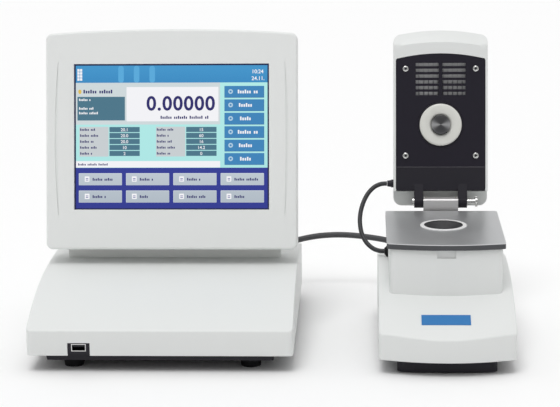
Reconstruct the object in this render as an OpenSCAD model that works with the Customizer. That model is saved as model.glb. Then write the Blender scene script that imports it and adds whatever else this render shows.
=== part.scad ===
// Automatic digital refractometer: touch-screen console and measuring head joined by a cable.
// Millimetres, +Z up, front towards -Y, origin on the bench below the middle of the pair.

/* [Console base] */
// Width of the console base and of the display
base_w = 273; // [262:1:284]
// Depth of the console base
base_d = 300; // [296:1:308]
// Height of the front wall's top edge above the bench
base_front_z = 44.5; // [42:0.5:47]
// Height of the base at its crown
base_crown_z = 76; // [73:0.5:78]
// Height of the base at its rear wall
base_rear_z = 63; // [61:0.5:66]
// Underside of the moulded base above the bench
base_bottom_z = 18; // [16:0.5:20]
// Wall of the moulded base
base_wall = 2.5; // [2:0.25:3]
// Radius of the base's upright corners
base_corner_r = 5; // [3:0.5:8]
// Diameter of the console's rubber feet
foot_d = 22.5; // [20:0.5:25]
// Distance between the left and the right feet
foot_pitch_x = 183.5; // [175:0.5:190]
// Distance of the front and rear feet from the ends of the base
foot_inset_y = 31; // [28:1:36]

/* [Display] */
// Angle by which the display leans back
display_tilt = 12; // [8:1:15]
// Height of the display at its corners
display_h = 234.5; // [230:0.5:240]
// Rise of the display's top edge between the corners
display_crown = 4.5; // [2:0.5:7]
// Thickness of the display housing
display_t = 55; // [52:1:60]
// Depth of the front bezel
bezel_t = 14; // [13.5:0.5:16]
// Visible width of the screen
screen_w = 212; // [205:1:216]
// Visible height of the screen
screen_h = 158; // [152:1:161]
// Height of the screen above the display's bottom edge
screen_v = 43.2; // [40:0.2:46]
// Distance of the display's bottom edge behind the front of the base
display_y = 147; // [140:1:150]
// Height of the display's bottom edge above the base's crown
display_rise = 17.6; // [16:0.2:22]
// Wall of the display housing
display_wall = 2.5; // [2:0.25:3]

/* [Measuring head] */
// Clear distance between the console and the head
unit_gap = 87; // [80:1:100]
// Distance by which the head stands in front of the console
head_lead = 14; // [10:1:18]
// Width of the head's base
head_w = 139.6; // [136:0.2:146]
// Depth of the head's base
head_d = 250; // [248:1:256]
// Bow of the front of the head's base
head_bow = 13; // [9:0.5:15]
// Wall of the head's covers
head_wall = 3; // [2.5:0.25:3.5]
// Underside of the head's cover above the bench
head_bottom_z = 15.3; // [14:0.1:17]
// Height of the front edge of the head's base
head_front_z = 39; // [37:0.5:41]
// Height of the head's base at its crown
head_crown_z = 80; // [78:0.5:82]
// Height of the head's base at its rear wall
head_rear_z = 64; // [62:0.5:68]
// Width of the pedestal
pedestal_w = 117; // [114:0.5:118]
// Height of the pedestal's top above the bench
pedestal_z = 117.4; // [116:0.2:119]
// Width of the steel plate
plate_w = 122.5; // [121:0.5:125]
// Depth of the steel plate
plate_d = 157.5; // [155:0.5:159]
// Thickness of the steel plate
plate_t = 6; // [5:0.5:6.5]
// Distance of the plate's rear edge in front of the hinge axis
plate_back = 15.5; // [14:0.5:18]
// Distance from the sample well to the hinge axis
well_l = 85; // [83:0.5:87]
// Outer diameter of the sample well's ring
well_ring_d = 49.6; // [48:0.2:51]
// Diameter of the sample well at its mouth
well_d = 41.2; // [38:0.2:42]
// Clear diameter over the prism
prism_d = 16; // [14:0.5:17]

/* [Lid] */
// Angle by which the lid stands open on its stop
lid_open = 102; // [95:1:104]
// Width of the lid
lid_w = 104; // [102:0.5:106]
// Length of the lid from the hinge axis to its tip
lid_len = 190; // [188:0.5:194]
// Thickness of the lid
lid_t = 39; // [37:0.5:41]
// Wall of the lid's shell
lid_wall = 2.5; // [2:0.25:3]
// Distance from the hinge axis to the tip end of the vented panel's corners
panel_end = 158; // [156:0.5:159]
// Rise of the lid's tip and of the panel's end between the corners
lid_crown = 6; // [4:0.5:7]
// Distance of the hinge axis in front of the rear of the head
hinge_inset = 17; // [16:0.5:18]
// Height of the hinge axis above the steel plate
hinge_rise = 7.2; // [7:0.1:8]
// Distance of the lid's face below the hinge axis when closed
face_drop = 3; // [2.5:0.1:3.4]
// Diameter of the hinge pin
pin_d = 6.3; // [5.5:0.1:6.6]
// Diameter of the presser's ring
presser_ring_d = 49; // [46:0.5:50]
// Diameter of the presser's disc
presser_d = 23; // [21:0.5:24]
// Distance by which the presser's disc stands out of the lid's face
presser_out = 6; // [5.5:0.1:6.5]
// Spring travel of the presser's disc
presser_travel = 1.5; // [1:0.1:1.6]
// Rows of ventilation slots in the lid's panel
vent_rows = 6; // [4:1:6]
// Height of a ventilation slot
vent_h = 3.7; // [3:0.1:4]
// Distance between ventilation slots
vent_pitch = 6.4; // [6:0.1:6.4]

/* [Cables] */
// Diameter of the link cable between the units
link_d = 6.8; // [6:0.1:7.2]
// Diameter of the lid's cable
lid_cable_d = 5; // [4.4:0.1:5.4]

/* [Hidden] */
$fn = 64;
fit = 0.3;
slip = 0.05;
sheet = 2;
half_w = (base_w + unit_gap + head_w) / 2;
half_d = (base_d + head_lead) / 2;
console_x = base_w / 2 - half_w;
console_y = half_d - base_d;
head_x = half_w - head_w / 2;
head_y = -half_d;
display_z = base_crown_z + display_rise;
plate_lip = 3;
pedestal_tail = 9;
hinge_y = head_d - hinge_inset;
well_y = hinge_y - well_l;
plate_y = hinge_y - plate_back - plate_d;
pedestal_y = plate_y + plate_lip;
pedestal_d = hinge_y + pedestal_tail - pedestal_y;
plate_z = pedestal_z + 0.1;
plate_top = plate_z + plate_t;
hinge_z = plate_top + hinge_rise;
panel_start = 38.3;
block_start = 11.6;
shell_start = -4.5;
lid_face = -face_drop;
lid_back = lid_t - face_drop;
crown_y = 190;
head_crown_y = 166;
floor_z = base_bottom_z + sheet;
head_floor_z = head_bottom_z + head_wall;

// Outline helpers
function arc(cx, cy, r, a0, a1, n = 6) =
  [for (i = [0:n]) let (a = a0 + (a1 - a0) * i / n) [cx + r * cos(a), cy + r * sin(a)]];

// Upright panel outline with rounded corners and a crowned top edge, inset all round by t
function crowned(w, h, crown, r, t = 0) =
  let (hw = w / 2 - t, ri = max(1, r - t), top = h - t)
  concat(
    arc(-hw + ri, t + ri, ri, 180, 270),
    arc(hw - ri, t + ri, ri, 270, 360),
    arc(hw - ri, top - ri, ri, 0, 80),
    [for (i = [1:9]) let (x = (hw - ri) * (1 - i / 5)) [x, top + crown * (1 - pow(2 * x / w, 2))]],
    arc(-hw + ri, top - ri, ri, 100, 180)
  );

// Plan outline with a bowed front, inset all round by t
function bowed(w, d, bow, rf, rr, t = 0) =
  let (hw = w / 2 - t, f = max(1, rf - t), g = max(1, rr - t), xf = hw - f)
  let (yf = bow * pow(2 * xf / w, 2) + t)
  concat(
    [for (i = [0:12]) let (x = -xf + xf * i / 6) [x, bow * pow(2 * x / w, 2) + t]],
    arc(xf, yf + f, f, 290, 360),
    arc(hw - g, d - t - g, g, 0, 90),
    arc(-hw + g, d - t - g, g, 90, 180),
    arc(-xf, yf + f, f, 180, 250)
  );

// Height of a moulded base's top over its length
function crown_line(y, d, yc, front, crown, rear) =
  y < yc ? crown - (crown - front) * pow(1 - y / yc, 2.7)
         : crown - (crown - rear) * pow((y - yc) / (d - yc), 2);
function base_top(y) = crown_line(y, base_d, crown_y, base_front_z, base_crown_z, base_rear_z);
function head_top(y) = crown_line(y, head_d, head_crown_y, head_front_z, head_crown_z, head_rear_z);

// Rectangle with true round corners, centred
module rrect(w, h, r) {
  square([w - 2 * r, h], center = true);
  square([w, h - 2 * r], center = true);
  for (sx = [-1, 1], sy = [-1, 1])
    translate([sx * (w / 2 - r), sy * (h / 2 - r)]) circle(r);
}

// Extrusion of a side view (y, z) along X, centred
module along_x(len) {
  translate([-len / 2, 0, 0]) rotate([90, 0, 90]) linear_extrude(len) children();
}

// Extrusion of a front view (x, z) along Y from y0
module along_y(len, y0 = 0) {
  translate([0, y0 + len, 0]) rotate([90, 0, 0]) linear_extrude(len) children();
}

// Solid through a list of rings with the same number of points, anticlockwise seen from the first
module loft(rings) {
  m = len(rings[0]);
  last = len(rings) - 1;
  sides = [for (i = [0:last - 1], j = [0:m - 1])
    let (k = (j + 1) % m) each [
      [i * m + j, i * m + k, (i + 1) * m + k],
      [i * m + j, (i + 1) * m + k, (i + 1) * m + j]
    ]];
  polyhedron(concat([for (ring = rings) each ring]), concat(sides, [
    [for (j = [m - 1:-1:0]) j],
    [for (j = [0:m - 1]) last * m + j]
  ]), convexity = 6);
}

function unit(v) = v / norm(v);
function ring_at(p, t, r, n) =
  let (s = abs(t[2]) > 0.9 ? [1, 0, 0] : [0, 0, 1], u = unit(cross(s, t)), v = cross(t, u))
  [for (j = [0:n - 1]) p + r * (cos(360 * j / n) * u - sin(360 * j / n) * v)];

// Catmull-Rom curve through the points, k pieces to a span
function smooth(p, k) =
  let (n = len(p) - 1)
  concat([for (i = [0:n - 1], j = [0:k - 1])
    let (t = j / k, a = p[max(0, i - 1)], b = p[i], c = p[i + 1], d = p[min(n, i + 2)])
    0.5 * (2 * b + (c - a) * t + (2 * a - 5 * b + 4 * c - d) * t * t
      + (3 * b - a - 3 * c + d) * t * t * t)], [p[n]]);

// Round tube of radius r with n sides along a list of points
module tube(p, r, n, first, last_dir) {
  e = len(p) - 1;
  loft([for (i = [0:e])
    let (t = i == 0 ? first : i == e ? last_dir : unit(p[i + 1] - p[i - 1]))
    ring_at(p[i], t, r, n)]);
}

module in_console() {
  translate([console_x, console_y, 0]) children();
}

// Display frame: x across, y into the housing, z up the leaning front
module in_display() {
  in_console() translate([0, display_y, display_z]) rotate([-display_tilt, 0, 0]) children();
}

module in_head() {
  translate([head_x, head_y, 0]) children();
}

// Lid frame: x across, y from the hinge axis towards the tip, -z the face that presses
module in_lid() {
  translate([head_x, head_y + hinge_y, hinge_z]) rotate([-lid_open, 0, 0]) mirror([0, 1, 0]) children();
}

// Bored disc
module washer(r, bore, h) {
  difference() {
    cylinder(r = r, h = h);
    translate([0, 0, -1]) cylinder(r = bore, h = h + 2);
  }
}

// Axial fan rotor about +Z: hub, stub shaft and tilted blades
module fan_rotor(r, h, shaft_r) {
  cylinder(r = r * 0.42, h = h);
  translate([0, 0, -1.8]) cylinder(r = shaft_r, h = 2);
  for (k = [0:6])
    rotate([0, 0, k * 360 / 7]) translate([r * 0.4, 0, h / 2]) rotate([35, 0, 0])
      translate([0, -r * 0.2, -0.5]) cube([r * 0.58, r * 0.4, 1]);
}

// Fan frame about +Z: square ring, four struts and the hub plate with its bearing bore
module fan_frame(w, r, h, shaft_r) {
  difference() {
    translate([-w / 2, -w / 2, 0]) cube([w, w, h]);
    translate([0, 0, -1]) cylinder(r = r + 0.8, h = h + 2);
    for (sx = [-1, 1], sy = [-1, 1])
      translate([sx * w * 0.4, sy * w * 0.4, -1]) cylinder(r = 1.6, h = h + 2);
  }
  difference() {
    union() {
      cylinder(r = r * 0.42, h = 2);
      for (a = [45, 135, 225, 315])
        rotate([0, 0, a]) translate([r * 0.4, -1, 0]) cube([r * 0.6 + 1.2, 2, 1.5]);
    }
    translate([0, 0, -1]) cylinder(r = shaft_r + slip, h = 4);
  }
}

// Console base

usb_x = -82.6;
usb_w = 23;
usb_h = 13.7;
usb_shell_w = 15;
usb_shell_h = 7.8;
usb_t = 14;
foot_h = 12;
pan_w = base_w - 38;
pan_slant = 1.5;
pan_inset = 6;
io_w = 214;
io_h = 35;
io_z = floor_z + 1.5 + io_h / 2;
io_y = base_d - base_wall - sheet;
link_x = io_w / 2 - 13;
inlet_x = link_x - 25;
rocker_x = inlet_x - 27;
sockets_x = rocker_x - 47;
fan_x = sockets_x - 65;
board_w = 130;
board_d = 110;
board_x = -100;
board_y = foot_inset_y + 13;
board_z = floor_z + 6;
board_t = 1.6;
psu_w = 65;
psu_d = 120;
psu_h = 36;
psu_x = 45;
psu_y = base_d - foot_inset_y - 29 - psu_d;
link_z = io_z + 6;
link_gland_r = 6.2;

function base_side(t, z0) = concat(
  [[t, z0]],
  [for (i = [0:18]) let (y = t + (base_d - 2 * t) * i / 18) [y, base_top(y) - t]],
  [[base_d - t, z0]]
);

module base_form(t, z0) {
  intersection() {
    along_x(base_w - 2 * t) polygon(base_side(t, z0));
    translate([0, base_d / 2, z0 - 1]) linear_extrude(base_crown_z)
      rrect(base_w - 2 * t, base_d - 2 * t, max(1, base_corner_r - t));
  }
}

module console_base_cover() {
  color([0.9, 0.91, 0.9]) in_console() difference() {
    base_form(0, base_bottom_z);
    base_form(base_wall, base_bottom_z - 3);
    translate([usb_x - usb_w / 2, -1, base_bottom_z - 1]) cube([usb_w, base_wall + 2, usb_h + 1]);
    translate([-io_w / 2 + 3, io_y, io_z - io_h / 2 + 3]) cube([io_w - 6, 8, io_h - 6]);
    translate([-40, display_y + 50, base_crown_z - 10]) cube([80, 22, 20]);
  }
}

module console_base_plate() {
  color([0.13, 0.12, 0.15]) in_console() difference() {
    union() {
      translate([0, base_d / 2, base_bottom_z])
        linear_extrude(sheet)
          rrect(base_w - 2 * base_wall - 2 * fit, base_d - 2 * base_wall - 2 * fit, 3);
      translate([0, pan_inset, 0]) along_y(base_d - 2 * pan_inset)
        polygon([[-pan_w / 2 + pan_slant, foot_h], [pan_w / 2 - pan_slant, foot_h],
          [pan_w / 2, base_bottom_z + 0.5], [-pan_w / 2, base_bottom_z + 0.5]]);
    }
    translate([0, pan_inset + sheet, 0]) along_y(base_d - 2 * (pan_inset + sheet))
      polygon([[-pan_w / 2 + pan_slant + sheet, foot_h + sheet],
        [pan_w / 2 - pan_slant - sheet, foot_h + sheet],
        [pan_w / 2 - sheet, base_bottom_z + 3], [-pan_w / 2 + sheet, base_bottom_z + 3]]);
    at_feet() translate([0, 0, foot_h - 1]) cylinder(r = 2.1, h = 5);
    for (i = [0:9])
      translate([-60 + i * 10, base_d / 2, foot_h - 1]) cube([4, 60, 5]);
  }
}

module at_feet() {
  for (sx = [-1, 1], y = [foot_inset_y, base_d - foot_inset_y])
    translate([sx * foot_pitch_x / 2, y, 0]) children();
}

module console_feet() {
  color([0.1, 0.1, 0.12]) in_console() at_feet() difference() {
    cylinder(r1 = foot_d / 2 - 1.2, r2 = foot_d / 2, h = foot_h);
    translate([0, 0, -1]) cylinder(r = 4, h = 6);
    cylinder(r = 2.1, h = foot_h + 1);
  }
}

module foot_screws() {
  color([0.6, 0.6, 0.62]) in_console() at_feet() {
    translate([0, 0, 2.8]) cylinder(r = 3.4, h = 2.2);
    translate([0, 0, 4.9]) cylinder(r = 2, h = foot_h + sheet + 0.1 - 4.9);
    translate([0, 0, foot_h + sheet + 0.1]) cylinder(r = 3.6, h = 2.5, $fn = 6);
  }
}

module usb_bezel() {
  w = usb_w - 2 * fit;
  color([0.1, 0.1, 0.12]) in_console() difference() {
    translate([usb_x - w / 2, 0.4, floor_z + 0.1]) cube([w, usb_t, usb_h - sheet - fit]);
    translate([usb_x - usb_shell_w / 2 - fit, -1, usb_z() - fit])
      cube([usb_shell_w + 2 * fit, usb_t + 2, usb_shell_h + 2 * fit]);
  }
}

function usb_z() = floor_z + 2.9;

module usb_socket() {
  color([0.75, 0.76, 0.78]) in_console() translate([usb_x, 0.2, usb_z() + usb_shell_h / 2]) {
    difference() {
      along_y(usb_t) square([usb_shell_w, usb_shell_h], center = true);
      along_y(usb_t, -1.5) square([usb_shell_w - 1.6, usb_shell_h - 1.6], center = true);
    }
    along_y(usb_t - 1, 1) translate([-5.5, 0.6]) square([11, 2]);
  }
}

module main_board() {
  color([0.05, 0.35, 0.2]) in_console() {
    translate([board_x, board_y, board_z]) cube([board_w, board_d, board_t]);
    for (x = [6, board_w - 6], y = [6, board_d - 6])
      translate([board_x + x, board_y + y, foot_h + sheet])
        cylinder(r = 3, h = board_z - foot_h - sheet + 0.1);
    translate([board_x, board_y, board_z + board_t]) {
      translate([40, 30, 0]) cube([36, 36, 8]);
      for (k = [0:3])
        translate([88 + 9 * k, 30, 0]) cube([5, 50, 4]);
    }
  }
}

module power_supply() {
  case_wall = 2;
  in_console() translate([psu_x, psu_y, foot_h + sheet]) {
    color([0.72, 0.73, 0.75]) difference() {
      cube([psu_w, psu_d, psu_h]);
      translate([case_wall, -case_wall, case_wall])
        cube([psu_w - 2 * case_wall, psu_d, psu_h - 2 * case_wall]);
      for (i = [0:6])
        translate([7, 12 + 12 * i, psu_h - 6]) cube([psu_w - 15, 5, 10]);
    }
    color([0.15, 0.15, 0.17]) translate([10, 20, case_wall]) cube([psu_w - 25, psu_d - 40, psu_h - 14]);
  }
}

module console_fan_frame() {
  color([0.12, 0.12, 0.13]) in_console() translate([fan_x, io_y, io_z]) rotate([90, 0, 0])
    fan_frame(32, 14, 10, 1.5);
}

module console_fan_rotor() {
  color([0.2, 0.2, 0.22]) in_console() translate([fan_x, io_y, io_z]) rotate([90, 0, 0])
    translate([0, 0, 2.3]) fan_rotor(14, 7, 1.5);
}

module rear_io_panel() {
  color([0.2, 0.2, 0.22]) in_console() difference() {
    translate([-io_w / 2, io_y, io_z - io_h / 2]) cube([io_w, sheet, io_h]);
    translate([inlet_x, 0, io_z]) along_y(6, io_y - 2) square([28.4, 20.4], center = true);
    translate([rocker_x, 0, io_z]) along_y(6, io_y - 2) square([14.4, 20.4], center = true);
    translate([sockets_x, 0, io_z]) along_y(6, io_y - 2) square([60.4, 18.4], center = true);
    translate([link_x, io_y - 2, link_z]) rotate([-90, 0, 0]) cylinder(r = link_gland_r - 1, h = 6);
    translate([fan_x, io_y - 2, io_z]) rotate([-90, 0, 0]) {
      for (r = [4, 8, 12])
        intersection() {
          washer(r + 1.4, r - 1.4, 6);
          for (a = [0, 90, 180, 270])
            rotate([0, 0, a + 45]) translate([1.5, 1.5, 0]) cube([20, 20, 6]);
        }
    }
  }
}

module power_inlet() {
  color([0.08, 0.08, 0.09]) in_console() translate([inlet_x, 0, io_z]) {
    difference() {
      union() {
        along_y(20, io_y - 18 + sheet) square([28, 20], center = true);
        along_y(2, io_y + sheet) rrect(32, 24, 3);
      }
      along_y(18, io_y - 12 + sheet) square([24.4, 16.4], center = true);
    }
  }
  color([0.8, 0.78, 0.6]) in_console() translate([inlet_x, 0, io_z])
    for (p = [[-7, 2.5], [7, 2.5], [0, 5]])
      along_y(9, io_y - 12 + sheet - 0.5) translate([p[0] - 1, p[1] - 1.5]) square([2, 3]);
}

module switch_frame() {
  color([0.08, 0.08, 0.09]) in_console() translate([rocker_x, 0, io_z]) difference() {
    union() {
      along_y(16, io_y + sheet - 16) square([14, 20], center = true);
      along_y(1.6, io_y + sheet) rrect(17.6, 23.6, 1.5);
    }
    along_y(14, io_y + sheet - 10) square([11, 17.2], center = true);
    translate([-6.6, io_y + sheet - 2, 0]) rotate([0, 90, 0]) cylinder(r = 1.2 + slip, h = 13.2);
  }
}

module power_rocker() {
  color([0.06, 0.06, 0.07]) in_console() translate([rocker_x, io_y + sheet - 2, io_z])
    rotate([-6, 0, 0]) {
      along_x(10.2) polygon([[-4, -3], [-4, 3], [1.5, 7.6], [3.6, 7.6], [2.2, 0], [3.6, -7.6], [1.5, -7.6]]);
      translate([-6.4, 0, 0]) rotate([0, 90, 0]) cylinder(r = 1.2, h = 12.8);
    }
}

module data_sockets() {
  color([0.16, 0.16, 0.18]) in_console() translate([sockets_x, 0, io_z]) difference() {
    union() {
      along_y(16, io_y + sheet - 16) square([60, 18], center = true);
      along_y(1, io_y + sheet) square([63, 21], center = true);
    }
    for (x = [-20, -4])
      along_y(14, io_y + sheet - 11) translate([x - 6, -4.5]) square([12, 9]);
    along_y(10, io_y + sheet - 4) translate([10, -4.5]) square([17, 9]);
  }
}

// Display, in the leaning display frame

glass_y = 3.6;
glass_w = screen_w + 14;
glass_h = screen_h + 14;
screen_mid = screen_v + screen_h / 2;
flute_x = 122.8;
flute_len = 172;
flute_bow = 4.1;
flute_flat = 1.4;
flute_depth = 1.2;
neck_w = 234;
neck_y = 182;
display_r = 7;

// Radius of the arc that rises by bow over a chord
function chord_r(chord, bow) = chord * chord / (8 * bow) + bow / 2;

module display_slab(stations) {
  loft([for (s = stations)
    [for (p = crowned(base_w, display_h, display_crown, display_r, s[1])) [p[0], s[0], p[1]]]]);
}

module screen_rect(w, h) {
  translate([-w / 2, screen_mid - h / 2]) square([w, h]);
}

module display_front_bezel() {
  color([0.88, 0.89, 0.87]) in_display() difference() {
    display_slab([[0, 2.2], [0.5, 1], [1.6, 0.2], [3, 0], [bezel_t, 0]]);
    along_y(5, -1) screen_rect(screen_w, screen_h);
    along_y(bezel_t, 3) screen_rect(glass_w + 2 * fit, glass_h + 2 * fit);
    along_y(bezel_t, 8) screen_rect(glass_w + 16, glass_h + 16);
    for (s = [-1, 1])
      along_y(1 + flute_depth, -1) translate([s * flute_x, screen_mid - 2]) intersection() {
        difference() {
          translate([s * (flute_bow - chord_r(flute_len, flute_bow)), 0])
            circle(chord_r(flute_len, flute_bow), $fn = 720);
          translate([s * (flute_flat - chord_r(flute_len, flute_flat)), 0])
            circle(chord_r(flute_len, flute_flat), $fn = 720);
        }
        square([4 * flute_bow, flute_len - 6], center = true);
      }
  }
}

module display_rear_cover() {
  b = bezel_t + 0.05;
  color([0.86, 0.87, 0.85]) in_display() difference() {
    display_slab([[b, 0], [30, 0], [display_t - 15, 4], [display_t - 6, 11], [display_t - 1.5, 20],
      [display_t, 26]]);
    display_slab([[b - 1, display_wall], [30, display_wall], [display_t - 16, 4 + display_wall],
      [display_t - 8, 13], [display_t - display_wall, 24]]);
    for (k = [0:7])
      translate([-72 + 18 * k, display_t - 6, 160]) cube([8, 8, 30]);
    translate([-12, display_t - 8, 34]) cube([24, 12, 24]);
  }
}

// The neck's top fits under and behind the leaning housing, and its foot fits the crowned base
module display_neck() {
  slope = display_tilt;
  under = function(y) display_z - (y - display_y) * tan(slope) - fit;
  rear_y = display_y + display_t * cos(slope) + fit;
  rear_z = display_z - display_t * sin(slope) - fit;
  up = 58;
  color([0.82, 0.83, 0.81]) in_console() difference() {
    union() {
      along_x(neck_w) polygon([
        for (i = [0:4]) let (y = neck_y + 4.5 * i) [y, base_top(y) + 0.05],
        [neck_y + 18, under(neck_y + 18)], [neck_y, under(neck_y)]
      ]);
      along_x(150) polygon(concat(
        [for (i = [0:6]) let (y = neck_y + 10 + 8.5 * i) [y, base_top(y) + 0.05]],
        [for (i = [0:6]) let (t = i / 6)
          [neck_y + 61 - 26 * t + 6 * sin(180 * t), base_top(neck_y + 61) + 3 + (rear_z + up - 78) * t]],
        [[rear_y + up * tan(slope), rear_z + up], [rear_y, rear_z], [neck_y + 10, under(neck_y + 10)]]
      ));
    }
    translate([-30, neck_y + 18, base_front_z]) cube([60, 16, 90]);
  }
}

module touch_glass() {
  color([0.08, 0.1, 0.2]) in_display() along_y(1.8, glass_y) screen_rect(glass_w, glass_h);
}

module display_gasket() {
  color([0.05, 0.05, 0.05]) in_display() along_y(glass_y - 3.1, 3.05) difference() {
    screen_rect(glass_w - 1, glass_h - 1);
    screen_rect(screen_w + 3, screen_h + 3);
  }
}

module lcd_panel() {
  color([0.2, 0.3, 0.6]) in_display() along_y(2.4, glass_y + 1.85) screen_rect(glass_w - 1, glass_h - 1);
}

module lcd_frame() {
  y0 = 8.05;
  color([0.7, 0.71, 0.72]) in_display() {
    along_y(2, y0) screen_rect(glass_w + 15, glass_h + 15);
    for (k = [-1, 1])
      along_y(5, y0 + 2) translate([k * 70 - 4, screen_mid - 70]) square([8, 140]);
  }
}

// Cables and their glands

link_points = [
  [-19.3, 166.6, 45], [-19.3, 175, 45.3], [-17, 186, 46.6], [-10, 195, 49], [1, 201.5, 51.8],
  [14, 205.5, 54.5], [28, 207.2, 57.5], [44, 207.5, 60], [62, 207, 61.2], [81, 205.3, 61], [99, 201, 60],
  [116, 194, 59], [130.5, 183.5, 58], [141.5, 169.5, 57], [148.5, 152, 56], [151, 134, 55.3],
  [151.2, 118, 55], [151.2, 104.5, 55]
];
lid_points = [
  [120.8, 84.9, 149.2], [114, 85, 148.6], [106.5, 83, 145.5], [99.5, 78.5, 139], [94.3, 72, 130],
  [91.3, 64.5, 120], [90.8, 57, 110], [92.8, 49.5, 100.5], [97.6, 42.5, 92.5], [104.5, 36.5, 87.2],
  [111.5, 33, 85.2], [117.3, 32, 85]
];
link_end_x = 151.2;
link_end_z = 55;
grommet_r = 5.8;
grommet_y = hinge_y - 44;
grommet_z = 85;
lid_gland_l = 20;
lid_gland_z = 5;

module gland(bore, r, body, nut, thread) {
  difference() {
    union() {
      cylinder(r = r, h = nut, $fn = 6);
      translate([0, 0, nut]) cylinder(r1 = r * 0.86, r2 = bore + 1.4, h = body - nut);
      translate([0, 0, -thread]) cylinder(r = r * 0.8, h = thread + 1);
    }
    translate([0, 0, -thread - 1]) cylinder(r = bore * 0.6, h = thread + 2);
    translate([0, 0, 1]) cylinder(r = bore + slip, h = 3);
  }
}

module console_cable_gland() {
  color([0.15, 0.15, 0.16]) in_console()
    translate([link_x, base_d - base_wall + 0.05, link_z]) rotate([-90, 0, 0])
      gland(link_d / 2, link_gland_r, 12, 5, 4.5);
}

module link_cable() {
  p = smooth(link_points, 2);
  color([0.33, 0.33, 0.35]) tube(p, link_d / 2, 10, [0, 1, 0], [0, -1, 0]);
}

module head_cable_gland() {
  color([0.15, 0.15, 0.16])
    translate([link_end_x, head_y + head_d + 0.05, link_end_z]) rotate([-90, 0, 0])
      gland(link_d / 2, link_gland_r, 11.4, 5, 3);
}

module cable_grommet() {
  color([0.08, 0.08, 0.09]) in_head() translate([-pedestal_w / 2, grommet_y, grommet_z])
    rotate([0, -90, 0]) {
      cylinder(r = grommet_r, h = 2.2);
      translate([0, 0, 2.2]) cylinder(r1 = grommet_r - 0.8, r2 = lid_cable_d / 2 + 1, h = 1.9);
      translate([0, 0, -head_wall]) cylinder(r = grommet_r - 1.6, h = head_wall + 0.1);
    }
}

module lid_cable() {
  p = smooth(lid_points, 2);
  color([0.24, 0.24, 0.25]) tube(p, lid_cable_d / 2, 10, [-1, 0, 0], [1, 0, 0]);
}

module lid_cable_gland() {
  color([0.1, 0.1, 0.11]) in_lid() translate([-lid_w / 2, lid_gland_l, lid_gland_z])
    rotate([0, -90, 0]) {
      translate([0, 0, 0.05]) cylinder(r = 4.4, h = 2.6);
      translate([0, 0, 2.6]) cylinder(r1 = 3.9, r2 = lid_cable_d / 2 + 0.8, h = 4.3);
      translate([0, 0, -lid_wall - 0.15]) cylinder(r = 3.2, h = lid_wall + 0.25);
    }
}

// Measuring head: covers

label_w = 50;
label_y = 18.5;
label_d = 13;

module head_form(t, z0) {
  intersection() {
    along_x(head_w - 2 * t) polygon(concat(
      [[t, z0]],
      [for (i = [0:18]) let (y = t + (head_d - 2 * t) * i / 18) [y, head_top(y) - t]],
      [[head_d - t, z0]]
    ));
    translate([0, 0, z0 - 1]) linear_extrude(head_crown_z)
      polygon(bowed(head_w, head_d, head_bow, 5, 16, t));
  }
}

module pedestal_form(t, z0, h) {
  translate([0, pedestal_y, z0]) linear_extrude(h)
    polygon(bowed(pedestal_w, pedestal_d, 6.5, 5, 8, t));
}

module head_base_cover() {
  color([0.9, 0.91, 0.9]) in_head() difference() {
    head_form(0, head_bottom_z);
    head_form(head_wall, head_bottom_z - 3);
    pedestal_form(-fit, head_bottom_z, head_crown_z);
    translate([link_end_x - head_x, head_d - head_wall - 2, link_end_z])
      rotate([-90, 0, 0]) cylinder(r = link_gland_r * 0.8 + slip, h = head_wall + 4);
    for (sx = [-1, 1], i = [0:5])
      translate([sx * 45 - 1.5 + (i - 2.5) * 6, head_d - head_wall - 1, 28]) cube([3, 6, 16]);
  }
}

module label_plate() {
  rows = [for (i = [0:4]) label_y + (label_d * i) / 4];
  color([0.2, 0.45, 0.75]) in_head() translate([-1.5, 0, 0]) along_x(label_w)
    polygon(concat([for (y = rows) [y, head_top(y) + 0.03]],
      [for (i = [4:-1:0]) [rows[i], head_top(rows[i]) + 0.6]]));
}

module head_plinth() {
  color([0.13, 0.12, 0.16]) in_head() difference() {
    union() {
      translate([0, 15.4, 1.2]) linear_extrude(head_bottom_z - 1.2)
        polygon(bowed(102, head_d - 32, 3, 6, 8));
      translate([0, 0, head_bottom_z]) linear_extrude(head_wall)
        polygon(bowed(head_w, head_d, head_bow, 5, 16, head_wall + fit));
    }
    at_head_feet() translate([0, 0, 1]) cylinder(r = 2.6, h = 5);
  }
}

module at_head_feet() {
  for (sx = [-1, 1], y = [40, head_d - 45])
    translate([sx * 36, y, 0]) children();
}

module head_feet() {
  color([0.08, 0.08, 0.09]) in_head() at_head_feet() {
    cylinder(r = 8, h = 1.2);
    translate([0, 0, 1.1]) cylinder(r = 2.5, h = 3);
  }
}

module head_pedestal() {
  color([0.88, 0.89, 0.88]) in_head() difference() {
    pedestal_form(0, head_floor_z + 0.05, pedestal_z - head_floor_z - 0.05);
    pedestal_form(head_wall, head_floor_z - 1, pedestal_z - head_wall - head_floor_z + 1);
    translate([0, well_y, pedestal_z - 10]) cylinder(r = 15, h = 20);
    translate([-9.5, pedestal_y - 5, pedestal_z - 9]) cube([19, 7, 10]);
    translate([-pedestal_w / 2 - 1, grommet_y, grommet_z]) rotate([0, 90, 0])
      cylinder(r = grommet_r - 1.6 + slip, h = head_wall + 2);
    for (s = [-1, 1])
      translate([s * 12, hinge_y + 3, pedestal_z - 10]) cylinder(r = 1.6, h = 20);
  }
}

module steel_top_plate() {
  color([0.72, 0.73, 0.75]) in_head() difference() {
    translate([0, plate_y, plate_z]) linear_extrude(plate_t)
      polygon(bowed(plate_w, plate_d, 8, 3, 3));
    translate([0, well_y, plate_z - 1]) cylinder(r = well_ring_d / 2 - 2.9 + slip, h = plate_t + 2);
  }
}

// Measuring head: sample well and optics

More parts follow.
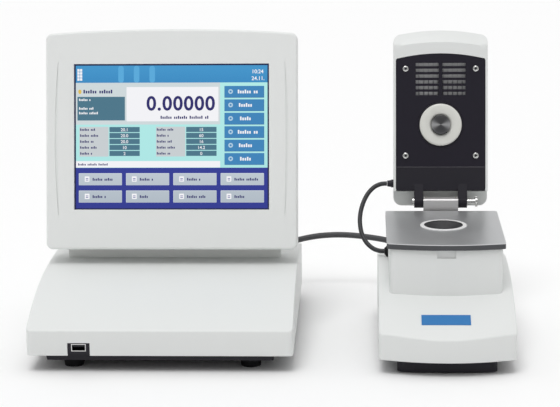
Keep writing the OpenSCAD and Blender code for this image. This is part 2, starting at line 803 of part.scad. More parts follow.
seat_r = 14.7;
seat_z = plate_top - 20;
bench_z = 60;
bench_t = 6;
bench_w = pedestal_w - 17;
bench_y = pedestal_y + head_wall + 7;
bench_d = hinge_y + pedestal_tail - head_wall - 16 - bench_y;
head_board_w = 72;
head_board_d = 120;
sink_z = bench_z + bench_t;

module sample_well_ring() {
  r = well_ring_d / 2;
  m = well_d / 2;
  color([0.8, 0.81, 0.83]) in_head() translate([0, well_y, plate_top]) rotate_extrude($fn = 96)
    polygon([[m, 0.8], [r - 0.3, 0.8], [r, 0.5], [r, 0.05], [r - 2.9, 0.05], [r - 2.9, -plate_t],
      [prism_d / 2 + 0.2, -plate_t], [prism_d / 2 + 0.2, -plate_t + 0.9], [m - 0.8, -0.2], [m, 0.2]]);
}

module prism() {
  color([0.75, 0.85, 0.9, 0.6]) in_head() translate([0, well_y, 0]) {
    translate([0, 0, plate_z - 3]) cylinder(r = prism_d / 2, h = 3.6);
    intersection() {
      along_x(12) polygon([[-7.4, plate_z - 2.95], [7.4, plate_z - 2.95], [4, seat_z + 3], [-4, seat_z + 3]]);
      translate([0, 0, seat_z]) cylinder(r = prism_d / 2, h = 20);
    }
  }
}

module prism_mount() {
  color([0.6, 0.6, 0.62]) in_head() translate([0, well_y, 0]) difference() {
    translate([0, 0, seat_z]) cylinder(r = seat_r, h = plate_z - 1.9 - seat_z);
    translate([0, 0, seat_z + 2.9]) cylinder(r = prism_d / 2 + slip, h = 20);
    translate([0, 0, plate_z - 3.2]) cylinder(r = prism_d / 2 + 2.2, h = 5);
    translate([0, -20, seat_z + 7]) rotate([-90, 0, 0]) cylinder(r = 2.4, h = 40);
  }
}

module prism_seal() {
  color([0.1, 0.1, 0.1]) in_head() translate([0, well_y, plate_z - 1.6]) difference() {
    rotate_extrude() translate([prism_d / 2 + 1.1, 0]) circle(1);
    translate([0, 0, -3]) cylinder(r = prism_d / 2 + slip, h = 6);
  }
}

module thermo_modules() {
  color([0.92, 0.92, 0.9]) in_head() translate([0, well_y, seat_z - 3.6])
    for (s = [-1, 1])
      translate([s * 11 - 10, -15, 0]) cube([20, 30, 3.5]);
}

module heat_sink() {
  color([0.75, 0.76, 0.78]) in_head() translate([-24, well_y - 20, sink_z + 0.05]) {
    translate([0, 0, seat_z - 3.7 - sink_z - 5]) cube([48, 40, 5]);
    for (k = [0:8])
      translate([5.75 * k, 0, 0]) cube([2, 40, seat_z - 3.7 - sink_z - 4.9]);
  }
}

module optical_bench() {
  color([0.35, 0.36, 0.38]) in_head() {
    translate([-bench_w / 2, bench_y, bench_z]) cube([bench_w, bench_d, bench_t]);
    for (sx = [-1, 1], y = [7, bench_d - 7])
      translate([sx * (bench_w / 2 - 6), bench_y + y, head_floor_z + 0.05])
        cylinder(r = 4, h = bench_z - head_floor_z);
  }
}

module light_source() {
  color([0.2, 0.2, 0.22]) in_head() translate([0, well_y, sink_z + 0.05]) difference() {
    translate([-10, -62, 0]) cube([20, 20, seat_z + 7 - sink_z + 3.5]);
    translate([0, -50, seat_z + 7 - sink_z]) rotate([-90, 0, 0]) cylinder(r = 3, h = 20);
  }
}

module collimating_lens() {
  color([0.8, 0.88, 0.95, 0.6]) in_head() translate([0, well_y - 41.9, seat_z + 7]) rotate([-90, 0, 0]) {
    cylinder(r = 3.6, h = 2);
    translate([0, 0, -3]) cylinder(r = 2.9, h = 3.5);
  }
}

module sensor_board() {
  color([0.1, 0.4, 0.25]) in_head() translate([0, well_y + 48, sink_z + 0.05]) {
    translate([-20, 0, 0]) cube([40, 1.6, 48]);
    translate([-16, 1.6, 0]) cube([32, 10, 3]);
  }
  color([0.1, 0.1, 0.1]) in_head() translate([-7, well_y + 45.5, seat_z + 4]) cube([14, 2.5, 6]);
}

module head_board() {
  color([0.05, 0.35, 0.2]) in_head() translate([-head_board_w / 2, well_y - head_board_d / 2, head_floor_z]) {
    translate([0, 0, 6]) cube([head_board_w, head_board_d, 1.6]);
    for (x = [5, head_board_w - 5], y = [5, head_board_d - 5])
      translate([x, y, 0.05]) cylinder(r = 2.5, h = 6);
    translate([14, 30, 7.6]) cube([28, 28, 4]);
    translate([50, 20, 7.6]) cube([10, 60, 9]);
  }
}

// Hinge

bracket_w = 38;
bracket_front = 10;
bracket_top = 5;
lug_in = 19.3;
lug_w = 9.8;
lug_r = 7;
bush_r = 4.2;
bush_lip = 1.1;
bracket_foot = pedestal_z - hinge_z + 0.05;
pin_r = pin_d / 2;
pin_end = 38.1;
nut_t = 2.4;

module at_hinge() {
  in_head() translate([0, hinge_y, hinge_z]) children();
}

module hinge_bracket() {
  color([0.78, 0.79, 0.8]) at_hinge() difference() {
    union() {
      along_x(bracket_w) {
        translate([-bracket_front, bracket_foot]) square([sheet, bracket_top - 3 - bracket_foot]);
        translate([3 - bracket_front, bracket_top - sheet]) square([8, sheet]);
        intersection() {
          translate([3 - bracket_front, bracket_top - 3]) difference() {
            circle(3);
            circle(1);
          }
          translate([-bracket_front, bracket_top - 3]) square([3, 3]);
        }
        translate([-bracket_front, bracket_foot]) square([bracket_front + 9, sheet]);
      }
      for (s = [-1, 1])
        translate([s * (bracket_w / 2 - sheet / 2), 0, 0]) along_x(sheet) {
          circle(5.6);
          translate([-bracket_front, bracket_foot]) square([bracket_front + 5.6, -bracket_foot]);
        }
    }
    translate([-bracket_w, 0, 0]) rotate([0, 90, 0]) cylinder(r = bush_r + slip, h = 2 * bracket_w);
    for (s = [-1, 1])
      rotate([0, s * 90, 0]) translate([0, 0, bracket_w / 2 - sheet - 1.2])
        cylinder(r = bush_r + bush_lip + 0.1, h = 1.2);
    for (s = [-1, 1])
      translate([s * 12, 3, bracket_foot - 1]) cylinder(r = 1.7, h = 4);
  }
}

module bracket_screws() {
  color([0.7, 0.7, 0.72]) at_hinge()
    for (s = [-1, 1])
      translate([s * 12, 3, bracket_foot + sheet]) {
        translate([0, 0, 0.02]) cylinder(r = 2.9, h = 1.6);
        translate([0, 0, -6]) cylinder(r = 1.55, h = 6.5);
      }
}

module hinge_bushes() {
  color([0.75, 0.6, 0.3]) at_hinge()
    for (s = [-1, 1])
      rotate([0, s * 90, 0]) {
        translate([0, 0, bracket_w / 2 - sheet - 0.05]) washer(bush_r, pin_r + slip, sheet + 0.05);
        translate([0, 0, bracket_w / 2 - sheet - 0.85]) washer(bush_r + bush_lip, pin_r + slip, 0.8);
      }
}

module hinge_pin() {
  color([0.8, 0.8, 0.82]) in_lid() rotate([0, 90, 0]) {
    translate([0, 0, -lug_in - lug_w - 1]) cylinder(r = pin_r, h = lug_in + lug_w + 1 + pin_end + nut_t - 0.3);
    translate([0, 0, -lug_in - lug_w - 2]) cylinder(r = 4.6, h = 1.9);
  }
}

module pin_thumb_nut() {
  color([0.75, 0.75, 0.77]) in_lid() rotate([0, 90, 0]) difference() {
    translate([0, 0, pin_end]) washer(5.8, pin_r + slip, nut_t);
    for (k = [0:23])
      rotate([0, 0, 15 * k]) translate([5.9, 0, pin_end - 1]) cylinder(r = 0.35, h = nut_t + 2, $fn = 4);
  }
}

// Lid, in the lid frame

lid_tail = shell_start + lid_wall;
cavity_w = lid_w - 2 * lid_wall;
cavity_z = lid_back - 13;
screw_x = 38.7;
screw_l = [50.8, 147];
panel_t = 3;
vent_w = 25.6;
vent_x = 14.7;
vent_first = 119.7;
ring_floor = 5;
ring_floor_t = 4;
stem_r = 4;
sink_mid = 136.5;
sink_l = 40;
sink_face = 12;
tail_z = 12;
panel_r = 2.5;

function lid_outline(t) =
  [for (p = crowned(lid_w, lid_len - lid_crown - shell_start, lid_crown, 9, t)) [p[0], p[1] + shell_start]];
function cavity_outline(t) =
  [for (p = crowned(cavity_w, panel_end - lid_tail, lid_crown, panel_r, t)) [p[0], p[1] + lid_tail]];
function at_height(outline, z) =
  [for (i = [len(outline) - 1:-1:0]) [outline[i][0], outline[i][1], z]];

module lid_shell() {
  color([0.9, 0.91, 0.9]) in_lid() difference() {
    union() {
      difference() {
        loft([for (s = [[lid_face, 1], [lid_face + 1, 0], [lid_back - 12, 0], [lid_back - 5, 2.2],
          [lid_back - 1.5, 6], [lid_back, 11]]) at_height(lid_outline(s[1]), s[0])]);
        loft([for (s = [[lid_face - 1, 0], [cavity_z, 0], [lid_back - 3, 8]])
          at_height(cavity_outline(s[1]), s[0])]);
      }
      for (sx = [-1, 1], l = screw_l)
        translate([sx * screw_x, l, panel_t + lid_face + 0.1]) cylinder(r = 4, h = lid_back - 3);
      translate([-cavity_w / 2 - 1, lid_tail - 1, tail_z])
        cube([cavity_w + 2, block_start - lid_tail + 0.8, lid_wall]);
    }
    for (sx = [-1, 1], l = screw_l)
      translate([sx * screw_x, l, lid_face]) cylinder(r = 1.65, h = 14);
    translate([-lid_w / 2 - 1, shell_start - 1, lid_face - 1])
      cube([lid_w + 2, block_start - shell_start + 1, tail_z - lid_face + 1]);
    along_x(lid_w + 2) polygon([[lid_len - 13, lid_face - 1], [lid_len - 13, lid_face],
      [lid_len + 1, 6], [lid_len + 1, lid_face - 1]]);
    translate([-lid_w / 2 - 1, lid_gland_l, lid_gland_z]) rotate([0, 90, 0])
      cylinder(r = 3.2 + slip, h = lid_wall + 2);
    for (k = [0:5])
      translate([-20, sink_mid - 16 + 6 * k, lid_back - 6]) cube([40, 2.6, 8]);
  }
}

module lid_panel() {
  color([0.15, 0.13, 0.18]) in_lid() difference() {
    intersection() {
      translate([0, 0, lid_face]) linear_extrude(panel_t) polygon(cavity_outline(fit));
      translate([-lid_w / 2, panel_start, lid_face - 1]) cube([lid_w, lid_len, panel_t + 2]);
    }
    for (s = [-1, 1], k = [0:vent_rows - 1])
      translate([s * vent_x - vent_w / 2, vent_first + vent_pitch * k - vent_h / 2, lid_face - 1])
        cube([vent_w, vent_h, panel_t + 2]);
    for (sx = [-1, 1], l = screw_l)
      translate([sx * screw_x, l, lid_face - 1]) cylinder(r = 1.8, h = panel_t + 2);
    translate([0, well_l, lid_face - 1]) cylinder(r = presser_ring_d / 2 + fit, h = panel_t + 2);
  }
}

module lid_hinge_block() {
  color([0.12, 0.11, 0.14]) in_lid() difference() {
    union() {
      translate([-cavity_w / 2 + fit, block_start, lid_face])
        cube([cavity_w - 2 * fit, panel_start - block_start - 0.2, cavity_z - lid_face - 0.5]);
      for (s = [-1, 1])
        translate([s * (lug_in + lug_w / 2), 0, 0]) along_x(lug_w) {
          circle(lug_r);
          polygon([[0, -lug_r], [block_start + 8, lid_face], [block_start + 8, lug_r], [0, lug_r]]);
        }
    }
    translate([-lug_in - lug_w - 1, 0, 0]) rotate([0, 90, 0])
      cylinder(r = pin_r + slip, h = 2 * (lug_in + lug_w + 1));
    for (s = [-1, 1])
      translate([s * 34 - 9, block_start + 4, 6]) cube([18, 18, 20]);
  }
}

module lid_screws() {
  color([0.8, 0.8, 0.82]) in_lid() for (sx = [-1, 1], l = screw_l)
    translate([sx * screw_x, l, lid_face]) {
      difference() {
        translate([0, 0, -1.7]) cylinder(r1 = 2.9, r2 = 3.45, h = 1.65);
        for (a = [0, 90])
          rotate([0, 0, a + 20]) translate([-1.9, -0.4, -2]) cube([3.8, 0.8, 1.2]);
      }
      translate([0, 0, -0.06]) cylinder(r = 1.6, h = 10);
    }
}

module presser_ring() {
  r = presser_ring_d / 2;
  m = presser_d / 2 + 0.5;
  f = lid_face - 3;
  color([0.85, 0.85, 0.83]) in_lid() translate([0, well_l, 0]) rotate_extrude($fn = 96)
    polygon([[m, f + 1.6], [m + 1.8, f], [r - 1.6, f], [r, f + 1.6], [r, panel_t + lid_face + 0.05],
      [r + 2.5, panel_t + lid_face + 0.05], [r + 2.5, 2], [r - 4, 2], [r - 4, ring_floor + ring_floor_t],
      [stem_r + slip, ring_floor + ring_floor_t], [stem_r + slip, ring_floor], [m, ring_floor]]);
}

module presser_disc() {
  r = presser_d / 2;
  f = lid_face - presser_out;
  back = ring_floor + ring_floor_t + 0.1;
  color([0.8, 0.81, 0.82]) in_lid() translate([0, well_l, 0]) rotate_extrude($fn = 96)
    polygon([[0, f + 0.6], [3, f + 0.6], [3.6, f], [r - 1, f], [r, f + 1], [r, f + 5], [stem_r, f + 5],
      [stem_r, back], [stem_r + 1.8, back], [stem_r + 1.8, back + 2], [0, back + 2]]);
}

module presser_spring() {
  turns = 3;
  wire_r = 0.6;
  low = lid_face - presser_out + 5 + presser_travel + wire_r + 0.15;
  high = ring_floor - wire_r - 0.05;
  n = turns * 8;
  p = [for (i = [0:n]) [7.6 * cos(45 * i), 7.6 * sin(45 * i), low + (high - low) * i / n]];
  echo(spring_least_gap = (high - low) / turns - 2 * wire_r);
  color([0.6, 0.6, 0.62]) in_lid() translate([0, well_l, 0])
    tube(p, wire_r, 6, [0, 1, 0], [0, 1, 0]);
}

module lid_heat_sink() {
  base_z = sink_face;
  tips = panel_t + lid_face + 0.1;
  color([0.78, 0.79, 0.8]) in_lid() translate([0, sink_mid - sink_l / 2, 0]) {
    translate([-30, 0, base_z]) cube([60, sink_l, 3]);
    for (k = [0:11])
      translate([-30 + 58.6 * k / 11, 0, tips]) cube([1.4, sink_l, base_z - tips + 0.1]);
  }
}

module lid_fan_frame() {
  color([0.12, 0.12, 0.13]) in_lid() translate([0, sink_mid, sink_face + 3.1])
    fan_frame(40, 17.6, 10, 1.5);
}

module lid_fan_rotor() {
  color([0.25, 0.25, 0.27]) in_lid() translate([0, sink_mid, sink_face + 5.4]) fan_rotor(17.6, 7, 1.5);
}

console_base_cover();
console_base_plate();
console_feet();
foot_screws();
usb_bezel();
usb_socket();
display_front_bezel();
display_rear_cover();
display_neck();
touch_glass();
display_gasket();
lcd_panel();
lcd_frame();
main_board();
power_supply();
console_fan_frame();
console_fan_rotor();
rear_io_panel();
power_inlet();
switch_frame();
power_rocker();
data_sockets();
console_cable_gland();
link_cable();
head_cable_gland();
head_base_cover();
head_plinth();
head_feet();
head_pedestal();
steel_top_plate();
sample_well_ring();
prism_mount();
prism();
prism_seal();
optical_bench();
light_source();
collimating_lens();
sensor_board();
thermo_modules();
heat_sink();
head_board();
label_plate();
cable_grommet();
lid_cable();
hinge_bracket();
bracket_screws();
hinge_bushes();
hinge_pin();
pin_thumb_nut();
lid_shell();
lid_panel();
lid_hinge_block();
lid_screws();
presser_ring();
presser_disc();
presser_spring();
lid_fan_frame();
lid_fan_rotor();
lid_heat_sink();
lid_cable_gland();
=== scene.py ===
"""Looks for an automatic digital refractometer: touch-screen console, measuring head and cables.

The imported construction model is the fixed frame. Every sub-assembly is a class that takes its
places from that frame, builds the meshes that the construction solids leave plain and gives each
surface its finish. Shapes are written in millimetres and a matrix with MM places them in the
model, which is in metres. Node trees, finishes and lights are in metres too.
"""

import logging
import math
from collections.abc import Callable, Sequence
from dataclasses import dataclass
from enum import Enum

import bmesh
import bpy
from mathutils import Matrix, Vector


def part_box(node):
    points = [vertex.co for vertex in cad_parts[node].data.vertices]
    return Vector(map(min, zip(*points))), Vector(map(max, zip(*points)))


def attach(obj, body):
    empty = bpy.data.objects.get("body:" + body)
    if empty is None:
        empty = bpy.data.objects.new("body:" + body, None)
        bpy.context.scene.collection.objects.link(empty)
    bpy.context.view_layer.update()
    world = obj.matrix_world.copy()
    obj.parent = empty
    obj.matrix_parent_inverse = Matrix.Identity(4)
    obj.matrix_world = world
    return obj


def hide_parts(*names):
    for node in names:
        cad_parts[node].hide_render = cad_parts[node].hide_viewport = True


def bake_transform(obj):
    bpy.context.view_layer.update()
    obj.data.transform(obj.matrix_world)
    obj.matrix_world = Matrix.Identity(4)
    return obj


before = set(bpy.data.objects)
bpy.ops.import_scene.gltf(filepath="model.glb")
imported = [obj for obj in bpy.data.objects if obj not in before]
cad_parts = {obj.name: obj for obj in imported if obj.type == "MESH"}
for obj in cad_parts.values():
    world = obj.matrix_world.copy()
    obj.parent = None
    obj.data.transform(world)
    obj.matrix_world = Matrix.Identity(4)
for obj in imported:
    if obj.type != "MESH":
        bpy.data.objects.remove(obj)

LOG = logging.getLogger("refractometer")
MM = 0.001
Point = tuple[float, float, float]
Colour = tuple[float, float, float]
Span = tuple[float, float, float, float]
UP: Point = (0.0, 0.0, 1.0)
GREY = (0.6, 0.6, 0.6, 1.0)


class Body(Enum):
    """The bodies of the construction model that pieces ride on."""

    ROOT = "root"
    LID = "lid"
    PRESSER = "presser"


class Direction(Enum):
    """Stretch of a brushed finish, whose lines run along the named axis."""

    X = (0.03, 1.0, 1.0)
    Y = (1.0, 0.03, 1.0)


# Node trees


class Graph:
    """A node tree with short ways to add nodes and links."""

    def __init__(self, tree: bpy.types.NodeTree) -> None:
        """Takes the tree to add to."""
        self.tree = tree

    def join(self, value: object, plug: bpy.types.NodeSocket) -> None:
        """Links a socket to an input, or sets the input to any other value.

        Args:
            value: Socket or plain value.
            plug: Input that takes it.
        """
        if isinstance(value, bpy.types.NodeSocket):
            self.tree.links.new(value, plug)
        else:
            plug.default_value = value

    def add(self, kind: str, numbered: dict[int, object] | None = None,
            **values: object) -> bpy.types.Node:
        """Adds a node and sets its properties and inputs.

        Args:
            kind: Blender's type name of the node, without ShaderNode.
            numbered: Values or sockets of inputs by their number.
            **values: Values of properties, or values or sockets of inputs by their name, with
                underscores for spaces.

        Returns:
            The new node.
        """
        node = self.tree.nodes.new(f"ShaderNode{kind}")
        for key, value in values.items():
            if hasattr(node, key):
                setattr(node, key, value)
            else:
                self.join(value, node.inputs[key.replace("_", " ")])
        for number, value in (numbered or {}).items():
            self.join(value, node.inputs[number])
        return node

    def calc(self, operation: str, *terms: object) -> bpy.types.NodeSocket:
        """Adds a Math node and gives its result."""
        return self.add("Math", dict(enumerate(terms)), operation=operation).outputs[0]

    def vector(self, operation: str, *terms: object) -> bpy.types.NodeSocket:
        """Adds a Vector Math node and gives its result, a number for a length or a product."""
        node = self.add("VectorMath", dict(enumerate(terms)), operation=operation)
        return node.outputs["Value" if operation in ("LENGTH", "DOT_PRODUCT") else "Vector"]

    def part(self, value: bpy.types.NodeSocket, axis: str) -> bpy.types.NodeSocket:
        """Gives one part of a vector."""
        return self.add("SeparateXYZ", Vector=value).outputs[axis]

    def mix(self, share: object, first: object, second: object,
            blend: str = "MIX") -> bpy.types.NodeSocket:
        """Adds a Mix node for two colours and gives its result."""
        return self.add("Mix", {0: share, 6: first, 7: second}, data_type="RGBA",
                        blend_type=blend).outputs[2]

    def ramp(self, value: bpy.types.NodeSocket, span: tuple[float, float],
             result: tuple[float, float] = (0.0, 1.0),
             kind: str = "LINEAR") -> bpy.types.NodeSocket:
        """Adds a Map Range node that turns one span of numbers into another."""
        return self.add("MapRange", interpolation_type=kind, Value=value, From_Min=span[0],
                        From_Max=span[1], To_Min=result[0], To_Max=result[1]).outputs[0]

    def noise(self, **values: object) -> bpy.types.NodeSocket:
        """Adds a Noise Texture node and gives its result from 0 to 1."""
        return self.add("TexNoise", **values).outputs["Fac"]

    def waver(self, noise: bpy.types.NodeSocket, amount: object) -> bpy.types.NodeSocket:
        """Turns a noise into one about zero, as wide as the amount."""
        return self.calc("MULTIPLY", self.calc("SUBTRACT", noise, 0.5), amount)


class Group(Graph):
    """A shader node group that puts out a colour, a roughness and a height."""

    def __init__(self, name: str, **inputs: object) -> None:
        """Makes the group's sockets and end nodes.

        Args:
            name: Name of the group.
            **inputs: Starting value of each input, with underscores for spaces in its name.
        """
        super().__init__(bpy.data.node_groups.new(name, "ShaderNodeTree"))
        number, vector, colour = "NodeSocketFloat", "NodeSocketVector", "NodeSocketColor"
        for label, value in inputs.items():
            kind = number if isinstance(value, float) else vector if len(value) == 3 else colour
            socket = self.tree.interface.new_socket(name=label.replace("_", " "), in_out="INPUT",
                                                    socket_type=kind)
            socket.default_value = value
        for label, kind in (("Colour", colour), ("Roughness", number), ("Height", number)):
            self.tree.interface.new_socket(name=label, in_out="OUTPUT", socket_type=kind)
        self.source = self.tree.nodes.new("NodeGroupInput").outputs
        self.out = self.tree.nodes.new("NodeGroupOutput").inputs
        self.place = self.add("TexCoord").outputs["Object"]

    def close(self, **results: bpy.types.NodeSocket) -> None:
        """Joins the group's outputs to their results."""
        for label, socket in results.items():
            self.join(socket, self.out[label])


def grain_group() -> None:
    """Builds the group for moulded surfaces: fine grain, slow mottling and a handling haze."""
    group = Group("surface_grain", Colour=(0.8, 0.8, 0.8, 1.0), Shade=(0.7, 0.7, 0.7, 1.0),
                  Scale=1800.0, Roughness=0.45, Spread=0.08)
    source = group.source
    grain = group.noise(Vector=group.place, Scale=source["Scale"], Detail=3.0, Roughness=0.6)
    slow = group.noise(Vector=group.place, Scale=9.0, Detail=4.0, Roughness=0.55)
    rough = group.calc("ADD", source["Roughness"], group.waver(slow, source["Spread"]))
    group.close(Colour=group.mix(slow, source["Colour"], source["Shade"]),
                Roughness=group.calc("ADD", rough, group.waver(grain, 0.1)), Height=grain)


def brushed_group() -> None:
    """Builds the group for brushed metal: long fine lines, with a painted dark colour past an
    edge.
    """
    group = Group("brushed_lines", Colour=GREY, Stretch=Direction.X.value, Edge_Colour=GREY,
                  Edge_Axis=UP, Edge_Limit=-10.0, Scale=2600.0, Roughness=0.28)
    source = group.source
    lines = group.noise(Vector=group.vector("MULTIPLY", group.place, source["Stretch"]),
                        Scale=source["Scale"], Detail=4.0, Roughness=0.7)
    smear = group.noise(Vector=group.place, Scale=24.0, Detail=3.0)
    # Painted shade and painted reflection: past the edge limit the colour turns to the dark edge
    # colour.
    height = group.vector("DOT_PRODUCT", group.place, source["Edge Axis"])
    past = group.calc("LESS_THAN", height, source["Edge Limit"])
    zone = group.mix(past, source["Colour"], source["Edge Colour"])
    streaks = group.ramp(lines, (0.3, 0.7), (0.72, 1.0))
    rough = group.calc("ADD", source["Roughness"], group.waver(lines, 0.22))
    group.close(Colour=group.mix(0.35, zone, streaks, "MULTIPLY"),
                Roughness=group.calc("ADD", rough, group.waver(smear, 0.14)), Height=lines)


def turned_group() -> None:
    """Builds the group for turned faces: fine rings, a painted highlight across and an inner
    colour of painted shade.
    """
    group = Group("turned_rings", Centre=(0.0, 0.0, 0.0), Axis=UP, Colour=GREY, Glint_Colour=GREY,
                  Inner_Colour=GREY, Inner_Radius=0.0, Rings=2200.0, Roughness=0.22)
    source = group.source
    away = group.vector("SUBTRACT", group.place, source["Centre"])
    across = group.vector("SUBTRACT", away, group.vector("PROJECT", away, source["Axis"]))
    radius = group.vector("LENGTH", across)
    rings = group.noise(noise_dimensions="1D", W=group.calc("MULTIPLY", radius, source["Rings"]),
                        Scale=1.0, Detail=3.0)
    # Painted highlight: a bow-tie wedge across the axis turns the colour towards the glint colour,
    # standing in for light on turned metal.
    share = group.calc("DIVIDE", group.part(across, "X"), group.calc("MAXIMUM", radius, 1e-5))
    wedge = group.calc("POWER", group.calc("ABSOLUTE", share), 9.0)
    glint = group.mix(wedge, source["Colour"], source["Glint Colour"])
    # Painted shade: inside the inner radius the colour turns to the inner colour, which stands in
    # for shade in a hollow.
    inside = group.calc("LESS_THAN", radius, source["Inner Radius"])
    zone = group.mix(inside, glint, source["Inner Colour"])
    grooves = group.ramp(rings, (0.3, 0.7), (0.75, 1.0))
    group.close(Colour=group.mix(0.5, zone, grooves, "MULTIPLY"),
                Roughness=group.calc("ADD", source["Roughness"], group.waver(rings, 0.2)),
                Height=rings)


# Finishes


def opaque(colour: Colour) -> tuple[float, float, float, float]:
    """Gives a colour with full cover."""
    return (*colour, 1.0)


def middle_of(node: str) -> Point:
    """Gives the middle of a construction node's box."""
    low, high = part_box(node)
    return tuple((a + b) / 2 for a, b in zip(low, high))


@dataclass(frozen=True)
class Finish:
    """A surface finish. Its material is made once, when a piece first asks for it."""

    name: str
    colour: Colour
    roughness: float = 0.45
    metallic: float = 0.0
    specular: float = 0.5

    def material(self) -> bpy.types.Material:
        """Gives the material of this finish.

        Returns:
            The material, which is built on the first call.
        """
        made = bpy.data.materials.get(self.name)
        if made is None:
            made = bpy.data.materials.new(self.name)
            made.use_nodes = True
            plugs = made.node_tree.nodes["Principled BSDF"].inputs
            for key, value in (("Base Color", opaque(self.colour)), ("Metallic", self.metallic),
                               ("Roughness", self.roughness),
                               ("Specular IOR Level", self.specular)):
                plugs[key].default_value = value
            self.dress(Graph(made.node_tree), plugs)
        return made

    def dress(self, graph: Graph, plugs: bpy.types.NodeInputs) -> None:
        """Adds the detail that sets one kind of finish apart from another.

        Args:
            graph: Node tree of the material.
            plugs: Inputs of the material's Principled shader.
        """

    def place_group(self, graph: Graph, plugs: bpy.types.NodeInputs, group: str, depth: float,
                    **values: object) -> None:
        """Places a shared group and joins its outputs to the shader.

        Args:
            graph: Node tree of the material.
            plugs: Inputs of the material's Principled shader.
            group: Name of the node group.
            depth: Distance of the bump in metres.
            **values: Values for the group's inputs.
        """
        node = graph.add("Group", node_tree=bpy.data.node_groups[group], Roughness=self.roughness,
                         **values)
        bump = graph.add("Bump", Strength=0.6, Distance=depth, Height=node.outputs["Height"])
        graph.join(bump.outputs["Normal"], plugs["Normal"])
        graph.join(node.outputs["Colour"], plugs["Base Color"])
        graph.join(node.outputs["Roughness"], plugs["Roughness"])


@dataclass(frozen=True)
class Moulded(Finish):
    """Moulded plastic, paint or rubber with a fine grain."""

    shade: float = 0.96
    grain: float = 1800.0
    depth: float = 0.00004

    def dress(self, graph: Graph, plugs: bpy.types.NodeInputs) -> None:
        """Adds the grain and the slow mottling."""
        darker = tuple(part * self.shade for part in self.colour)
        self.place_group(graph, plugs, "surface_grain", self.depth, Colour=opaque(self.colour),
                         Shade=opaque(darker), Scale=self.grain)


@dataclass(frozen=True)
class Brushed(Finish):
    """Brushed metal, with a painted dark colour where the edge's axis reads less than its limit.
    """

    direction: Direction = Direction.X
    # edge is the painted dark colour: painted reflection on the steel plate's sides, painted shade
    # inside the socket.
    edge: Colour = (0.0, 0.0, 0.0)
    edge_axis: Point = UP
    edge_limit: float = -10.0
    depth: float = 0.00001

    def dress(self, graph: Graph, plugs: bpy.types.NodeInputs) -> None:
        """Adds the brushed lines."""
        self.place_group(graph, plugs, "brushed_lines", self.depth, Colour=opaque(self.colour),
                         Stretch=self.direction.value, Edge_Colour=opaque(self.edge),
                         Edge_Axis=self.edge_axis, Edge_Limit=self.edge_limit)


@dataclass(frozen=True)
class Turned(Finish):
    """Turned metal or plastic with rings round an axis, a painted highlight and an inner colour of
    painted shade.
    """

    centre: Point = (0.0, 0.0, 0.0)
    axis: Point = UP
    # glint is the colour of the painted highlight; inner is the painted shade inside inner_radius.
    glint: Colour | None = None
    inner: Colour = (0.0, 0.0, 0.0)
    inner_radius: float = 0.0
    depth: float = 0.00001

    def dress(self, graph: Graph, plugs: bpy.types.NodeInputs) -> None:
        """Adds the turned rings, the painted highlight and the painted shade."""
        self.place_group(graph, plugs, "turned_rings", self.depth, Colour=opaque(self.colour),
                         Glint_Colour=opaque(self.glint or self.colour),
                         Inner_Colour=opaque(self.inner), Inner_Radius=self.inner_radius,
                         Centre=self.centre, Axis=self.axis)


@dataclass(frozen=True)
class Clear(Finish):
    """Clear glass or crystal."""

    ior: float = 1.5

    def dress(self, graph: Graph, plugs: bpy.types.NodeInputs) -> None:
        """Makes the shader transmit light."""
        plugs["Transmission Weight"].default_value = 1.0
        plugs["IOR"].default_value = self.ior


@dataclass(frozen=True)
class Lit(Finish):
    """A lit area of the screen, whose colour runs from its lower to its upper height."""

    lower: Colour = (0.0, 0.0, 0.0)
    low: float = 0.0
    high: float = 1.0

    def dress(self, graph: Graph, plugs: bpy.types.NodeInputs) -> None:
        """Adds a glow that runs from the lower to the upper colour.

        Args:
            graph: Node tree of the material.
            plugs: Inputs of the material's Principled shader.
        """
        height = graph.part(graph.add("TexCoord").outputs["Object"], "Z")
        share = graph.ramp(height, (self.low, self.high))
        graph.join(graph.mix(share, opaque(self.lower), opaque(self.colour)),
                   plugs["Emission Color"])
        plugs["Emission Strength"].default_value = 1.0
        plugs["Base Color"].default_value = (0.01, 0.01, 0.01, 1.0)


WHITE = Moulded("housing_white", (0.775, 0.79, 0.78), roughness=0.42, specular=0.4, shade=0.975)
# Painted light: a lighter white than the housing's, for the extra light on the bezel's tilted
# face.
BEZEL_PAINTED_LIGHT = Moulded("bezel_white_painted_light", (0.82, 0.835, 0.825), roughness=0.42, specular=0.4, shade=0.98)
# Painted light: a lighter white than the housing's lifts the shade on the neck under the display.
NECK_PAINTED_LIGHT = Moulded("neck_white_painted_light", (0.91, 0.92, 0.90), roughness=0.45, specular=0.4, shade=0.98)
BLACK = Moulded("moulded_black", (0.021, 0.0195, 0.027), roughness=0.5, specular=0.25, shade=0.7,
                depth=0.00006)
PANEL = Moulded("panel_black", (0.0145, 0.0125, 0.0215), roughness=0.42, specular=0.25,
                shade=0.85, grain=1300.0)
FOOT = Moulded("foot_rubber", (0.009, 0.009, 0.011), roughness=0.7, specular=0.2, shade=0.6,
               depth=0.00008)
SHEATH_GREY = Moulded("sheath_grey", (0.075, 0.075, 0.08), roughness=0.5, specular=0.35,
                      shade=0.8, grain=900.0)
SHEATH_DARK = Moulded("sheath_dark", (0.04, 0.04, 0.044), roughness=0.45, specular=0.35,
                      shade=0.8, grain=900.0)
BOARD = Moulded("circuit_board", (0.015, 0.12, 0.05), roughness=0.35, shade=0.6, grain=500.0)
CERAMIC = Moulded("ceramic_plate", (0.8, 0.8, 0.77), roughness=0.55, shade=0.93)
LABEL = Moulded("blank_label", (0.030, 0.195, 0.49), roughness=0.3, specular=0.3, shade=0.9,
                depth=0.00001)
FILTER = Moulded("filter_felt", (0.82, 0.82, 0.83), roughness=0.85, specular=0.2, shade=0.35,
                 grain=700.0, depth=0.0003)
